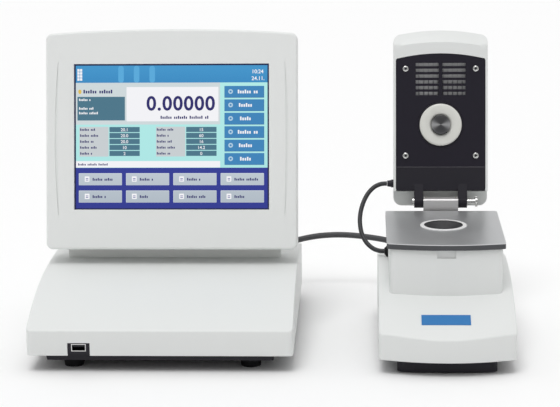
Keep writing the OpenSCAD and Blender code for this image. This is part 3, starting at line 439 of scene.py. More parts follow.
# Painted highlight: this grey, lighter than the black panel, stands in for light on the hinge
# block's top edge.
SEAM_HIGHLIGHT = Moulded("seam_painted_highlight", (0.14, 0.135, 0.15), roughness=0.4, shade=0.9, grain=900.0)
GLASS = Moulded("screen_glass", (0.006, 0.008, 0.02), roughness=0.08, specular=0.35, shade=0.9,
                depth=0.0)
FLOOR = Moulded("studio_floor", (0.95, 0.95, 0.95), roughness=0.7, shade=0.99, depth=0.0)
CRYSTAL = Clear("prism_crystal", (0.85, 0.93, 0.95), roughness=0.02, ior=1.77)
ZINC = Moulded("zinc_plate", (0.55, 0.56, 0.57), roughness=0.38, metallic=1.0, shade=0.85)
NICKEL = Moulded("nickel_plate", (0.68, 0.68, 0.67), roughness=0.24, metallic=1.0, shade=0.9)
ANODISED = Moulded("anodised_black", (0.03, 0.03, 0.033), roughness=0.4, metallic=0.6, shade=0.8)
BRONZE = Moulded("sintered_bronze", (0.42, 0.27, 0.10), roughness=0.45, metallic=1.0, shade=0.75)
BRACKET = Brushed("bracket_steel", (0.66, 0.65, 0.65), roughness=0.4, metallic=0.65)
MILLED = Brushed("milled_aluminium", (0.70, 0.71, 0.72), roughness=0.34, metallic=1.0,
                 direction=Direction.Y)
FINS = Brushed("fin_aluminium", (0.26, 0.265, 0.28), roughness=0.5, metallic=0.7, specular=0.3,
               direction=Direction.Y)
# Painted reflection: the plate's sides, from 0.9 mm under its top, get a dark colour for the dark
# room they mirror.
STEEL = Brushed("plate_steel", (0.68, 0.69, 0.70), roughness=0.36, metallic=0.8,
                edge=(0.09, 0.092, 0.098), edge_limit=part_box("steel_top_plate")[1][2] - 0.9 * MM)
# Painted shade: the socket turns dark past 0.3 mm behind its mouth.
SOCKET = Brushed("socket_steel", (0.72, 0.72, 0.71), roughness=0.3, metallic=1.0,
                 edge=(0.03, 0.03, 0.033), edge_axis=(0.0, -1.0, 0.0),
                 edge_limit=-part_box("usb_socket")[0][1] - 0.3 * MM)
# Painted shade: the well's dished cone inside 20.7 mm radius is painted near black for the shade
# in it.
WELL = Turned("well_steel", (0.90, 0.90, 0.90), roughness=0.4, inner=(0.035, 0.035, 0.038),
              inner_radius=20.7 * MM, centre=middle_of("sample_well_ring"))

DRESSED = {
    NECK_PAINTED_LIGHT: ("display_neck",),
    WHITE: ("console_base_cover", "display_rear_cover", "head_base_cover", "head_pedestal",
            "lid_shell", "presser_ring"),
    BEZEL_PAINTED_LIGHT: ("display_front_bezel",),
    BLACK: ("console_base_plate", "usb_bezel", "rear_io_panel", "power_inlet", "switch_frame",
            "power_rocker", "data_sockets", "console_cable_gland", "head_cable_gland",
            "head_plinth", "lid_hinge_block", "console_fan_frame", "console_fan_rotor",
            "lid_fan_frame", "lid_fan_rotor", "lid_cable_gland"),
    PANEL: ("lid_panel",),
    FOOT: ("console_feet", "head_feet", "display_gasket", "prism_seal", "cable_grommet"),
    ZINC: ("foot_screws", "lcd_frame", "power_supply", "presser_spring"),
    SOCKET: ("usb_socket",),
    NICKEL: ("bracket_screws", "hinge_pin", "pin_thumb_nut", "lid_screws", "presser_disc"),
    GLASS: ("touch_glass", "lcd_panel"),
    BOARD: ("main_board", "sensor_board", "head_board"),
    SHEATH_GREY: ("link_cable",),
    SHEATH_DARK: ("lid_cable",),
    STEEL: ("steel_top_plate",),
    BRACKET: ("hinge_bracket",),
    MILLED: ("prism_mount", "heat_sink"),
    FINS: ("lid_heat_sink",),
    ANODISED: ("optical_bench", "light_source"),
    CRYSTAL: ("prism", "collimating_lens"),
    CERAMIC: ("thermo_modules",),
    BRONZE: ("hinge_bushes",),
    LABEL: ("label_plate",),
    WELL: ("sample_well_ring",),
}


# Mesh helpers


def new_object(name: str, data: bpy.types.ID) -> bpy.types.Object:
    """Makes an object of some data and puts it in the scene.

    Args:
        name: Name of the object.
        data: Mesh, curve, camera or light that it shows.

    Returns:
        The object.
    """
    item = bpy.data.objects.new(name, data)
    bpy.context.scene.collection.objects.link(item)
    return item


def make_piece(name: str, points: Sequence[Sequence[float]], faces: Sequence[Sequence[int]],
               body: Body | None, finish: Finish, place: Matrix | None = None,
               angle: float | None = 35.0) -> bpy.types.Object:
    """Makes a mesh object that rides on a body.

    Args:
        name: Name of the piece.
        points: Vertices.
        faces: Vertex numbers of each face.
        body: Body that the piece moves with, or None where the caller says how it moves.
        finish: Finish of the piece.
        place: Matrix from the piece's own frame to the model's.
        angle: Angle in degrees over which an edge stays sharp, or None for flat faces.

    Returns:
        The object.
    """
    mesh = bpy.data.meshes.new(name)
    mesh.from_pydata([tuple(p) for p in points], [], [tuple(f) for f in faces])
    work = bmesh.new()
    work.from_mesh(mesh)
    bmesh.ops.remove_doubles(work, verts=work.verts, dist=1e-6)
    bmesh.ops.dissolve_degenerate(work, dist=1e-6, edges=work.edges)
    if place is not None:
        bmesh.ops.transform(work, matrix=place, verts=work.verts)
    bmesh.ops.recalc_face_normals(work, faces=work.faces)
    work.to_mesh(mesh)
    work.free()
    item = new_object(name, mesh)
    mesh.materials.append(finish.material())
    if angle is not None:
        shade_smooth(item, angle)
    if body is not None:
        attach(item, body.value)
    return item


def shade_smooth(item: bpy.types.Object, angle: float) -> None:
    """Shades a mesh smooth and keeps edges sharper than the angle, in degrees."""
    item.data.shade_smooth()
    item.data.set_sharp_from_angle(angle=math.radians(angle))


def ring_faces(rings: int, count: int) -> list[tuple[int, ...]]:
    """Gives the side faces between closed rings of equally many points.

    Args:
        rings: Number of rings.
        count: Points in each ring.

    Returns:
        The faces.
    """
    return [(r * count + j, r * count + (j + 1) % count, (r + 1) * count + (j + 1) % count,
             (r + 1) * count + j) for r in range(rings - 1) for j in range(count)]


def lathe(name: str, profile: Sequence[tuple[float, float]], places: Sequence[Matrix],
          body: Body, finish: Finish, count: int = 96) -> bpy.types.Object:
    """Makes turned forms from one profile.

    Args:
        name: Name of the piece that holds them.
        profile: Radius and height of each corner, closed unless it starts on the axis.
        places: Matrix from the lathe's frame to the model's, one for each form.
        body: Body that the piece moves with.
        finish: Finish of the piece.
        count: Sides of the round.

    Returns:
        The object.
    """
    rows = [*profile, profile[0]] if profile[0][0] > 0.0 else list(profile)
    turns = [math.tau * j / count for j in range(count)]
    points: list[Vector] = []
    faces: list[tuple[int, ...]] = []
    for place in places:
        start = len(points)
        points += [place @ Vector((r * math.cos(a), r * math.sin(a), z))
                   for r, z in rows for a in turns]
        faces += [tuple(start + v for v in face) for face in ring_faces(len(rows), count)]
    return make_piece(name, points, faces, body, finish)


@dataclass
class Block:
    """A moulded block: a plan with round corners, a shaped top and rounded edges.

    Attributes:
        half: Half of the block's width.
        front: Front edge in the plan at a distance from the middle.
        rear: Rear edge in the plan at a distance from the middle.
        top: Height of the top at a place on the plan.
        bottom: Height of the underside.
        corner: Radius of the upright corners.
        edge: Radius of the top's edges.
        foot: Radius of the bottom's edges.
        rows: Rows of faces along the block.
        columns: Columns of faces between the corners.
        arc: Steps in each rounded edge.
        least: Least radius of an inset corner.
    """

    half: float
    front: Callable[[float], float]
    rear: Callable[[float], float]
    top: Callable[[float, float], float]
    bottom: float
    corner: float
    edge: float
    foot: float = 0.0
    rows: int = 36
    columns: int = 24
    arc: int = 6
    least: float = 0.05

    def across(self, inset: float) -> list[tuple[float, float]]:
        """Spreads the columns over the width and round the corners.

        Args:
            inset: Distance of the outline from the widest one.

        Returns:
            Each column's place and how far the corner's arc sets its ends back.
        """
        straight = self.half - max(self.corner, inset)
        radius = max(self.corner - inset, self.least)
        steps = [math.pi / 2 * k / self.arc for k in range(self.arc, 0, -1)]
        left = [(-straight - radius * math.sin(a), radius * (1 - math.cos(a))) for a in steps]
        middle = [(straight * (2 * k / self.columns - 1), 0.0) for k in range(self.columns + 1)]
        return left + middle + [(-x, rise) for x, rise in reversed(left)]

    def plan(self, inset: float) -> list[list[tuple[float, float]]]:
        """Lays out the plan's grid of points.

        Args:
            inset: Distance of the outline from the widest one.

        Returns:
            One list of points for each column, from the front to the rear.
        """
        straight = self.half - max(self.corner, inset)
        grid = []
        for x, rise in self.across(inset):
            flat = max(-straight, min(straight, x))
            near = self.front(flat) + inset + rise
            far = self.rear(flat) - inset - rise
            grid.append([(x, near + (far - near) * k / self.rows) for k in range(self.rows + 1)])
        return grid

    def loop(self, inset: float) -> list[tuple[float, float]]:
        """Gives the plan's outline at an inset, anticlockwise from the front left."""
        grid = self.plan(inset)
        return ([column[0] for column in grid] + grid[-1][1:]
                + [column[-1] for column in reversed(grid[:-1])] + grid[0][-2:0:-1])

    def mesh(self) -> tuple[list[Point], list[tuple[int, ...]]]:
        """Builds the closed mesh.

        Returns:
            Its points and its faces.
        """
        grid = self.plan(self.edge)
        points = [(x, y, self.top(x, y)) for column in grid for x, y in column]
        tall = self.rows + 1
        faces = [(c * tall + r, (c + 1) * tall + r, (c + 1) * tall + r + 1, c * tall + r + 1)
                 for c in range(len(grid) - 1) for r in range(self.rows)]
        rings = []
        for k in range(self.arc + 1):
            angle = math.pi / 2 * k / self.arc
            drop = self.edge * (1 - math.cos(angle))
            rings.append([(x, y, self.top(x, y) - drop)
                          for x, y in self.loop(self.edge * (1 - math.sin(angle)))])
        steps = self.arc if self.foot > 0 else 0
        for k in range(steps + 1):
            angle = math.pi / 2 * k / max(steps, 1)
            height = self.bottom + self.foot * (1 - math.sin(angle))
            rings.append([(x, y, height) for x, y in self.loop(self.foot * (1 - math.cos(angle)))])
        start, count = len(points), len(rings[0])
        points += [p for ring in rings for p in ring]
        faces += [tuple(start + v for v in face) for face in ring_faces(len(rings), count)]
        faces.append(tuple(start + (len(rings) - 1) * count + j for j in range(count)))
        return points, faces


def cut_boxes(item: bpy.types.Object, boxes: Sequence[tuple[Point, Point]], place: Matrix,
              form: Block | None = None, angle: float = 35.0) -> None:
    """Cuts boxes, and a moulded form where one is given, out of a mesh object.

    Args:
        item: Object to cut.
        boxes: Lowest and highest corner of each box.
        place: Matrix from the boxes' own frame to the model's.
        form: Block in the same frame that is cut out too.
        angle: Angle in degrees over which an edge stays sharp.
    """
    mesh = bpy.data.meshes.new("cutter")
    work = bmesh.new()
    if form is not None:
        points, faces = form.mesh()
        mesh.from_pydata(points, [], faces)
        work.from_mesh(mesh)
        bmesh.ops.remove_doubles(work, verts=work.verts, dist=1e-4)
        bmesh.ops.recalc_face_normals(work, faces=work.faces)
    for low, high in boxes:
        middle = Matrix.Translation((Vector(high) + Vector(low)) / 2)
        size = Matrix.Diagonal(Vector(high) - Vector(low)).to_4x4()
        bmesh.ops.create_cube(work, size=1.0, matrix=middle @ size)
    bmesh.ops.transform(work, matrix=place, verts=work.verts)
    if place.determinant() < 0:
        bmesh.ops.reverse_faces(work, faces=work.faces)
    work.to_mesh(mesh)
    work.free()
    cutter = new_object("cutter", mesh)
    modifier = item.modifiers.new("cut", "BOOLEAN")
    modifier.operation, modifier.solver, modifier.object = "DIFFERENCE", "EXACT", cutter
    graph = bpy.context.evaluated_depsgraph_get()
    graph.update()
    made = bpy.data.meshes.new_from_object(item.evaluated_get(graph))
    item.modifiers.clear()
    item.data = made
    bpy.data.objects.remove(cutter)
    shade_smooth(item, angle)


# Sub-assemblies


@dataclass
class Studio:
    """Camera, floor and lights, in metres and degrees.

    Attributes:
        eye: Place of the camera.
        turn: Turn of the camera about each axis.
        lens: Focal length in millimetres.
        sensor: Sensor width in millimetres.
        reach: Half of the floor's width.
        around: Light of the room from all sides.
        above: Light that the room adds towards the top.
        behind: Light that the room adds towards the rear.
        fade: Directions, from front to rear, between which the light behind fades in.
        sun_from: Place of the key light.
        sun_strength: Strength of the key light.
        sun_width: Angle that the key light fills, which softens its shadows.
    """

    eye: Point = (0.0958, -2.0623, 0.6074)
    turn: Point = (77.387, 0.559, 2.392)
    lens: float = 126.68
    sensor: float = 36.0
    reach: float = 12.0
    around: float = 0.275
    above: float = 0.4
    behind: float = 0.28
    fade: tuple[float, float] = (-0.75, 0.25)
    sun_from: Point = (-0.15, -0.5, 1.25)
    sun_strength: float = 1.16
    sun_width: float = 28.0

    def build(self) -> None:
        """Builds the camera, the floor and the lights."""
        scene = bpy.context.scene
        scene.view_settings.view_transform = "Standard"
        camera = new_object("camera", bpy.data.cameras.new("camera"))
        camera.data.lens, camera.data.sensor_width = self.lens, self.sensor
        camera.location = self.eye
        camera.rotation_euler = [math.radians(angle) for angle in self.turn]
        scene.camera = camera
        self.floor()
        scene.world = self.room()
        self.sun()

    def room(self) -> bpy.types.World:
        """Builds the soft light round the object: bright above and behind, dim in front.

        Returns:
            The world, which the camera sees as plain white.
        """
        world = bpy.data.worlds.new("room")
        world.use_nodes = True
        graph = Graph(world.node_tree)
        place = graph.add("TexCoord").outputs["Generated"]
        above = graph.ramp(graph.part(place, "Z"), (0.0, 1.0), (0.0, self.above))
        behind = graph.ramp(graph.part(place, "Y"), self.fade, (0.0, self.behind), "SMOOTHSTEP")
        glow = graph.calc("ADD", graph.calc("ADD", above, behind), self.around)
        seen = graph.add("LightPath").outputs["Is Camera Ray"]
        strength = graph.add("Mix", {0: seen, 2: glow, 3: 1.0}, data_type="FLOAT").outputs[0]
        sky = world.node_tree.nodes["Background"].inputs
        sky["Color"].default_value = (1.0, 1.0, 1.0, 1.0)
        graph.join(strength, sky["Strength"])
        return world

    def floor(self) -> None:
        """Builds the pale floor."""
        mesh = bpy.data.meshes.new("floor")
        far = self.reach
        mesh.from_pydata([(-far, -far, 0), (far, -far, 0), (far, far, 0), (-far, far, 0)], [],
                         [(0, 1, 2, 3)])
        mesh.materials.append(FLOOR.material())
        new_object("floor", mesh)

    def sun(self) -> None:
        """Adds the soft key light from above and in front."""
        data = bpy.data.lights.new("key", "SUN")
        data.energy, data.angle = self.sun_strength, math.radians(self.sun_width)
        item = new_object("key", data)
        item.location = self.sun_from
        item.rotation_euler = (-Vector(self.sun_from)).to_track_quat("-Z", "Y").to_euler()


@dataclass(frozen=True)
class Cable:
    """A free cable on the same route as its solid, in millimetres.

    Attributes:
        name: Name of the sheath.
        node: Construction node that it stands for.
        route: Points that the cable runs through.
        ends: Directions of the cable at its start and at its end.
        diameter: Outer diameter.
        finish: Finish of the sheath.
        stiffness: How stiff the cable is; not used.
        glands: Construction nodes of the cable's glands; not used.
        sides: Sides of the round.
        steps: Steps between two points of the route.
    """

    name: str
    node: str
    route: tuple[Point, ...]
    ends: tuple[Point, Point]
    diameter: float
    finish: Finish
    stiffness: str
    glands: tuple[str, ...]
    sides: int = 20
    steps: int = 4

    def path(self) -> list[Vector]:
        """Draws a smooth curve through the route's points.

        Returns:
            The curve's points in metres.
        """
        knots = [Vector(p) * MM for p in self.route]
        last = len(knots) - 1
        made = []
        for i in range(last):
            a, b, c, d = knots[max(0, i - 1)], knots[i], knots[i + 1], knots[min(last, i + 2)]
            for k in range(self.steps):
                t = k / self.steps
                made.append(0.5 * (2 * b + (c - a) * t + (2 * a - 5 * b + 4 * c - d) * t * t
                                   + (3 * b - a - 3 * c + d) * t ** 3))
        return made + [knots[-1]]

    def sheath(self) -> bpy.types.Object:
        """Makes the round sheath along the path.

        Returns:
            The sheath's object.
        """
        path = self.path()
        first, last = (Vector(end) for end in self.ends)
        radius = self.diameter * MM / 2
        turns = [math.tau * j / self.sides for j in range(self.sides)]
        points: list[Vector] = []
        side = first.orthogonal().normalized()
        for i, centre in enumerate(path):
            ahead = first if i == 0 else last if i == len(path) - 1 else path[i + 1] - path[i - 1]
            ahead = ahead.normalized()
            side = (side - ahead * side.dot(ahead)).normalized()
            across = ahead.cross(side)
            points += [centre + radius * (math.cos(a) * side + math.sin(a) * across)
                       for a in turns]
        end = len(points) - 1
        faces = [*ring_faces(len(path), self.sides), tuple(range(self.sides)),
                 tuple(range(end, end - self.sides, -1))]
        return make_piece(self.name, points, faces, None, self.finish, angle=50.0)

    def declare(self, item: bpy.types.Object) -> None:
        """Args:
            item: The sheath's object; not used.
        """
        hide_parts(self.node)


@dataclass
class Cables:
    """The link cable between the units and the lid's cable."""

    link: Cable = Cable("link_sheath", "link_cable", (
        (-19.3, 166.6, 45), (-19.3, 175, 45.3), (-17, 186, 46.6), (-10, 195, 49), (1, 201.5, 51.8),
        (14, 205.5, 54.5), (28, 207.2, 57.5), (44, 207.5, 60), (62, 207, 61.2), (81, 205.3, 61),
        (99, 201, 60), (116, 194, 59), (130.5, 183.5, 58), (141.5, 169.5, 57), (148.5, 152, 56),
        (151, 134, 55.3), (151.2, 118, 55), (151.2, 104.5, 55)), ((0, 1, 0), (0, -1, 0)), 6.8,
        SHEATH_GREY, "stiff", ("console_cable_gland", "head_cable_gland"))
    lid: Cable = Cable("lid_sheath", "lid_cable", (
        (120.8, 84.9, 149.2), (114, 85, 148.6), (106.5, 83, 145.5), (99.5, 78.5, 139),
        (94.3, 72, 130), (91.3, 64.5, 120), (90.8, 57, 110), (92.8, 49.5, 100.5),
        (97.6, 42.5, 92.5), (104.5, 36.5, 87.2), (111.5, 33, 85.2), (117.3, 32, 85)),
        ((-1, 0, 0), (1, 0, 0)), 5.0, SHEATH_DARK, "medium", ("lid_cable_gland",))

    def build(self) -> None:
        """Builds both cables."""
        sheath = self.link.sheath()
        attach(sheath, Body.ROOT.value)
        self.link.declare(sheath)
        sheath, path = self.lid.sheath(), self.lid.path()
        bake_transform(sheath)
        self.lid.declare(sheath)


@dataclass
class Dressing:
    """Finishes of the construction nodes that stay as they are."""

    def build(self) -> None:
        """Gives every construction node its finish."""
        for finish, names in DRESSED.items():
            for name in names:
                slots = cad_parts[name].data.materials
                slots.clear()
                slots.append(finish.material())


@dataclass
class CrownedBase:
    """A moulded base, whose top rises from the front edge to a crown, in millimetres.

    Its own frame has the middle of its width at 0 and shares the other axes with the model.

    Attributes:
        middle: Place of the base's middle across the model.
        front: Place of the front edge.
        half: Half of the width.
        depth: Length from the front edge to the rear edge.
        bottom: Height of the underside.
        front_z: Height of the top at the front edge.
        crown_z: Height of the crown.
        rear_z: Height of the top at the rear edge.
        crown_y: Distance of the crown from the front edge.
        side_drop: How far the sides set the slope of the top back.
        bow: How far the ends of the front edge lie behind its middle.
        rear_corner: Radius of the rear corners, on top of the corner of all four.
        rise: Exponent of the slope from the front edge to the crown.
        corner: Radius of the upright corners.
        edge: Radius of the top's edges.
        foot: Radius of the bottom's edges.
        rows: Rows of faces along the base.
    """

    middle: float
    front: float
    half: float
    depth: float
    bottom: float
    front_z: float
    crown_z: float
    rear_z: float
    crown_y: float
    side_drop: float = 0.0
    bow: float = 0.0
    rear_corner: float = 0.0
    rise: float = 2.7
    corner: float = 5.0
    edge: float = 1.4
    foot: float = 1.0
    rows: int = 44

    def place(self) -> Matrix:
        """Gives the matrix from the base's frame to the model's."""
        return Matrix.Translation((self.middle * MM, 0, 0)) @ Matrix.Scale(MM, 4)

    def near(self, x: float) -> float:
        """Gives the bowed front edge at a distance from the middle."""
        return self.front + self.bow * (x / self.half) ** 2

    def far(self, x: float) -> float:
        """Gives the rear edge at a distance from the middle, which turns in near its corners."""
        over = min(max(0.0, abs(x) - (self.half - self.rear_corner)), self.rear_corner)
        return (self.front + self.depth - self.rear_corner
                + math.sqrt(self.rear_corner ** 2 - over ** 2))

    def top(self, x: float, y: float) -> float:
        """Gives the height of the crowned top.

        Args:
            x: Distance from the middle.
            y: Place along the base.

        Returns:
            The height.
        """
        along = y - self.front - self.side_drop * (x / self.half) ** 4
        if along < self.crown_y:
            short = 1 - max(along, 0.0) / self.crown_y
            return self.crown_z - (self.crown_z - self.front_z) * short ** self.rise
        past = (along - self.crown_y) / (self.depth - self.crown_y)
        return self.crown_z - (self.crown_z - self.rear_z) * past ** 2

    def cover(self, name: str, form: Block, boxes: Sequence[tuple[Point, Point]],
              node: str) -> None:
        """Builds a housing, cuts boxes out of it and puts it in the place of its solid.

        Args:
            name: Name of the housing.
            form: Moulded form.
            boxes: Lowest and highest corner of each box to cut.
            node: Construction node that the housing stands for.
        """
        item = make_piece(name, *form.mesh(), Body.ROOT, WHITE, place=self.place())
        cut_boxes(item, boxes, self.place())
        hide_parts(node)

    def form(self) -> Block:
        """Gives the base's form."""
        return Block(self.half, self.near, self.far, self.top, self.bottom, self.corner,
                     self.edge, foot=self.foot, rows=self.rows)


@dataclass
class ConsoleBase(CrownedBase):
    """The console's moulded base with its rear bay and its socket recess."""

    middle: float = -113.3
    front: float = -143.0
    half: float = 136.5
    depth: float = 300.0
    bottom: float = 18.0
    front_z: float = 44.5
    crown_z: float = 76.0
    rear_z: float = 63.0
    crown_y: float = 190.0
    bay: tuple[Point, Point] = ((-104, 107.3, 24.5), (104, 160, 53.5))
    recess: tuple[Point, Point] = ((-94.1, -144, 17), (-71.1, -129, 31.7))

    def build(self) -> None:
        """Builds the cover."""
        self.cover("console_base_housing", self.form(), (self.bay, self.recess),
                   "console_base_cover")


@dataclass
class HeadBase(CrownedBase):
    """The measuring head's moulded base and the pedestal on it."""

    middle: float = 180.0
    front: float = -157.0
    half: float = 69.8
    depth: float = 250.0
    bottom: float = 15.3
    front_z: float = 39.0
    crown_z: float = 80.0
    rear_z: float = 64.0
    crown_y: float = 166.0
    side_drop: float = 7.8
    bow: float = 13.0
    rear_corner: float = 16.0
    vent_x: float = 45.0
    vent_w: float = 3.0
    vent_pitch: float = 6.0
    vent_count: int = 6
    vent_y: tuple[float, float] = (84.0, 96.0)
    vent_z: tuple[float, float] = (28.0, 44.0)
    pedestal_half: float = 58.5
    pedestal_y: float = -94.0
    pedestal_d: float = 179.0
    pedestal_bow: float = 6.5
    pedestal_z: tuple[float, float] = (18.4, 117.4)
    pedestal_corner: float = 6.0
    pedestal_edge: float = 1.5
    notch: tuple[Point, Point] = ((-9.5, -99.0, 108.4), (9.5, -92.0, 119.0))
    well: tuple[Point, Point] = ((-10.5, -19.5, 90.0), (10.5, 1.5, 119.0))

    def build(self) -> None:
        """Builds the base with its rear vents, and the pedestal."""
        vents = []
        for side in (-1, 1):
            for k in range(self.vent_count):
                x = side * self.vent_x + self.vent_pitch * (k - (self.vent_count - 1) / 2)
                vents.append(((x - self.vent_w / 2, self.vent_y[0], self.vent_z[0]),
                              (x + self.vent_w / 2, self.vent_y[1], self.vent_z[1])))
        self.cover("head_base_housing", self.form(), vents, "head_base_cover")
        low, high = self.pedestal_z
        pedestal = Block(
            self.pedestal_half,
            lambda x: self.pedestal_y + self.pedestal_bow * (x / self.pedestal_half) ** 2,
            lambda x: self.pedestal_y + self.pedestal_d, lambda x, y: high, low,
            self.pedestal_corner, self.pedestal_edge, rows=20)
        self.cover("pedestal_housing", pedestal, (self.notch, self.well), "head_pedestal")


@dataclass
class Screen:
    """The lit screen: a generic instrument page on the glass, in millimetres from its lower left.

    Tiles lie in layers over the glass, each as thick as the lift. Small print is plain strokes,
    of which every third is tall and every eighth is left out.
    """

    tilt: float = math.radians(12)
    width: float = 212.0
    height: float = 158.0
    glass_t: float = 1.8
    lift: float = 0.06
    left: float = 1.7
    right: float = 210.2
    split_x: float = 158.8
    header_z: float = 137.7
    lower_z: float = 45.4
    row_pitch: float = 6.47
    side_pitch: float = 14.55
    tall_every: int = 3
    gap_every: int = 8
    gap_at: int = 6

    def place(self) -> Matrix:
        """Works out where the screen's plane lies.

        Returns:
            The matrix from the screen's plane to the model.
        """
        low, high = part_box("touch_glass")
        lean = Matrix.Rotation(-self.tilt, 4, "X")
        rise = self.glass_t * MM * math.sin(self.tilt)
        slab = (high[2] - low[2] - rise) / math.cos(self.tilt)
        foot = Matrix.Translation(((low[0] + high[0]) / 2, low[1], low[2] + rise))
        corner = Matrix.Translation((-self.width / 2 * MM, 0, (slab - self.height * MM) / 2))
        return foot @ lean @ corner @ Matrix.Scale(MM, 4)

    def lit(self, name: str, upper: Colour, lower: Colour | None = None, low: float = 0.0,
            high: float = 1.0) -> Lit:
        """Gives a lit finish.

        Args:
            name: Name of the finish.
            upper: Colour at the top.
            lower: Colour at the bottom, or None where it is the same.
            low: Lower height of the blend.
            high: Upper height of the blend.

        Returns:
            The finish.
        """
        heights = [(self.place() @ Vector((0, 0, z))).z for z in (low, high)]
        return Lit(name, upper, roughness=0.12, lower=lower or upper, low=heights[0],
                   high=heights[1])

    def white(self) -> Lit:
        """Gives the white of the readings."""
        return self.lit("screen_white", (0.87, 0.87, 0.90))

    def ink(self) -> Lit:
        """Gives the dark blue of the numerals."""
        return self.lit("screen_ink", (0.012, 0.009, 0.13))

    def teal(self) -> Lit:
        """Gives the dark ground of the message box and the values."""
        return self.lit("screen_teal", (0.058, 0.165, 0.235))

    def tile(self, name: str, spans: Sequence[Span], layer: int, finish: Finish,
             radius: float = 0.3) -> None:
        """Makes flat tiles with round corners.

        Args:
            name: Name of the piece that holds the tiles.
            spans: Left, bottom, right and top of each tile.
            layer: Layer above the glass.
            finish: Finish of the tiles.
            radius: Corner radius.
        """
        points: list[Point] = []
        faces: list[tuple[int, ...]] = []
        near, far = -self.lift * layer, -self.lift * (layer - 1)
        for left, bottom, right, top in spans:
            r = min(radius, (right - left) / 2.01, (top - bottom) / 2.01)
            centres = ((right - r, top - r), (left + r, top - r), (left + r, bottom + r),
                       (right - r, bottom + r))
            ring = [(x + r * math.cos(a), z + r * math.sin(a))
                    for turn, (x, z) in enumerate(centres)
                    for a in [math.pi / 2 * (turn + k / 3) for k in range(4)]]
            start, count = len(points), len(ring)
            points += [(x, y, z) for y in (near, far) for x, z in ring]
            faces += [tuple(start + v for v in face) for face in ring_faces(2, count)]
            faces += [tuple(range(start + count - 1, start - 1, -1)),
                      tuple(range(start + count, start + 2 * count))]
        make_piece(name, points, faces, Body.ROOT, finish, place=self.place(), angle=None)

    def words(self, name: str, rows: Sequence[tuple[float, float, int]], size: float, layer: int,
              finish: Finish, radius: float = 0.2) -> None:
        """Makes rows of plain strokes that stand in for small print.

        Args:
            name: Name of the piece.
            rows: Left end, foot and number of strokes of each row.
            size: Height of the tall strokes.
            layer: Layer above the glass.
            finish: Finish of the strokes.
            radius: Corner radius of a stroke.
        """
        pitch, width, low = 0.62 * size, 0.42 * size, 0.72 * size
        spans = [(left + pitch * k, foot, left + pitch * k + width,
                  foot + (low if k % self.tall_every else size))
                 for left, foot, count in rows for k in range(count)
                 if k % self.gap_every != self.gap_at]
        self.tile(name, spans, layer, finish, radius)

    def numerals(self, name: str, rows: Sequence[tuple[str, float, float]], size: float,
                 layer: int, finish: Finish, bold: float, spread: float = 1.0) -> None:
        """Makes rows of plain numerals.

        Args:
            name: Name of the piece.
            rows: Text, centre across and baseline of each row.
            size: Height of the text's line.
            layer: Layer above the glass.
            finish: Finish of the numerals.
            bold: Extra stroke width.
            spread: Spacing of the characters.
        """
        work = bmesh.new()
        for text, x, z in rows:
            curve = bpy.data.curves.new(name, "FONT")
            curve.body, curve.size, curve.offset = text, size, bold
            curve.extrude, curve.resolution_u = self.lift / 2, 4
            curve.align_x, curve.space_character = "CENTER", spread
            item = new_object(name, curve)
            bpy.context.view_layer.update()
            mesh = bpy.data.meshes.new_from_object(item)
            seat = Matrix.Translation((x, -self.lift * (layer - 0.5), z))
            mesh.transform(self.place() @ seat @ Matrix.Rotation(math.pi / 2, 4, "X"))
            work.from_mesh(mesh)
            bpy.data.objects.remove(item)
        mesh = bpy.data.meshes.new(name)
        work.to_mesh(mesh)
        work.free()
        mesh.materials.clear()
        mesh.materials.append(finish.material())
        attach(new_object(name, mesh), Body.ROOT.value)

    def build(self) -> None:
        """Builds the whole page."""
        rim = 0.2
        self.tile("screen_border", [(rim, rim, self.width - rim, self.height - rim)], 1,
                  self.lit("screen_navy", (0.008, 0.010, 0.06)))
        self.header()
        self.readings()
        self.tables()
        self.side_buttons()
        self.lower_buttons()

    def header(self) -> None:
        """Builds the light blue strip along the top."""
        top = 156.0
        blue = self.lit("screen_header", (0.044, 0.29, 0.58), (0.030, 0.24, 0.52), self.header_z,
                        top)
        self.tile("screen_header_strip", [(self.left, self.header_z, self.right, top + 0.3)], 2,
                  blue, 0.2)
        self.tile("screen_header_bands", [(x, self.header_z + 0.2, x + 6, top)
                                          for x in (48, 65, 82)],
                  3, self.lit("screen_header_arc", (0.085, 0.38, 0.68)), 2.6)
        self.tile("screen_header_squares", [(x, 140 + 3.3 * k, x + 2.4, 142.8 + 3.3 * k)
                                            for k in range(4) for x in (3.4, 6.3)],
                  4, self.white())
        self.numerals("screen_clock", [("10:24", 199.5, 147.6), ("24.11.", 200, 140.2)], 5.8, 4,
                      self.white(), 0.08)

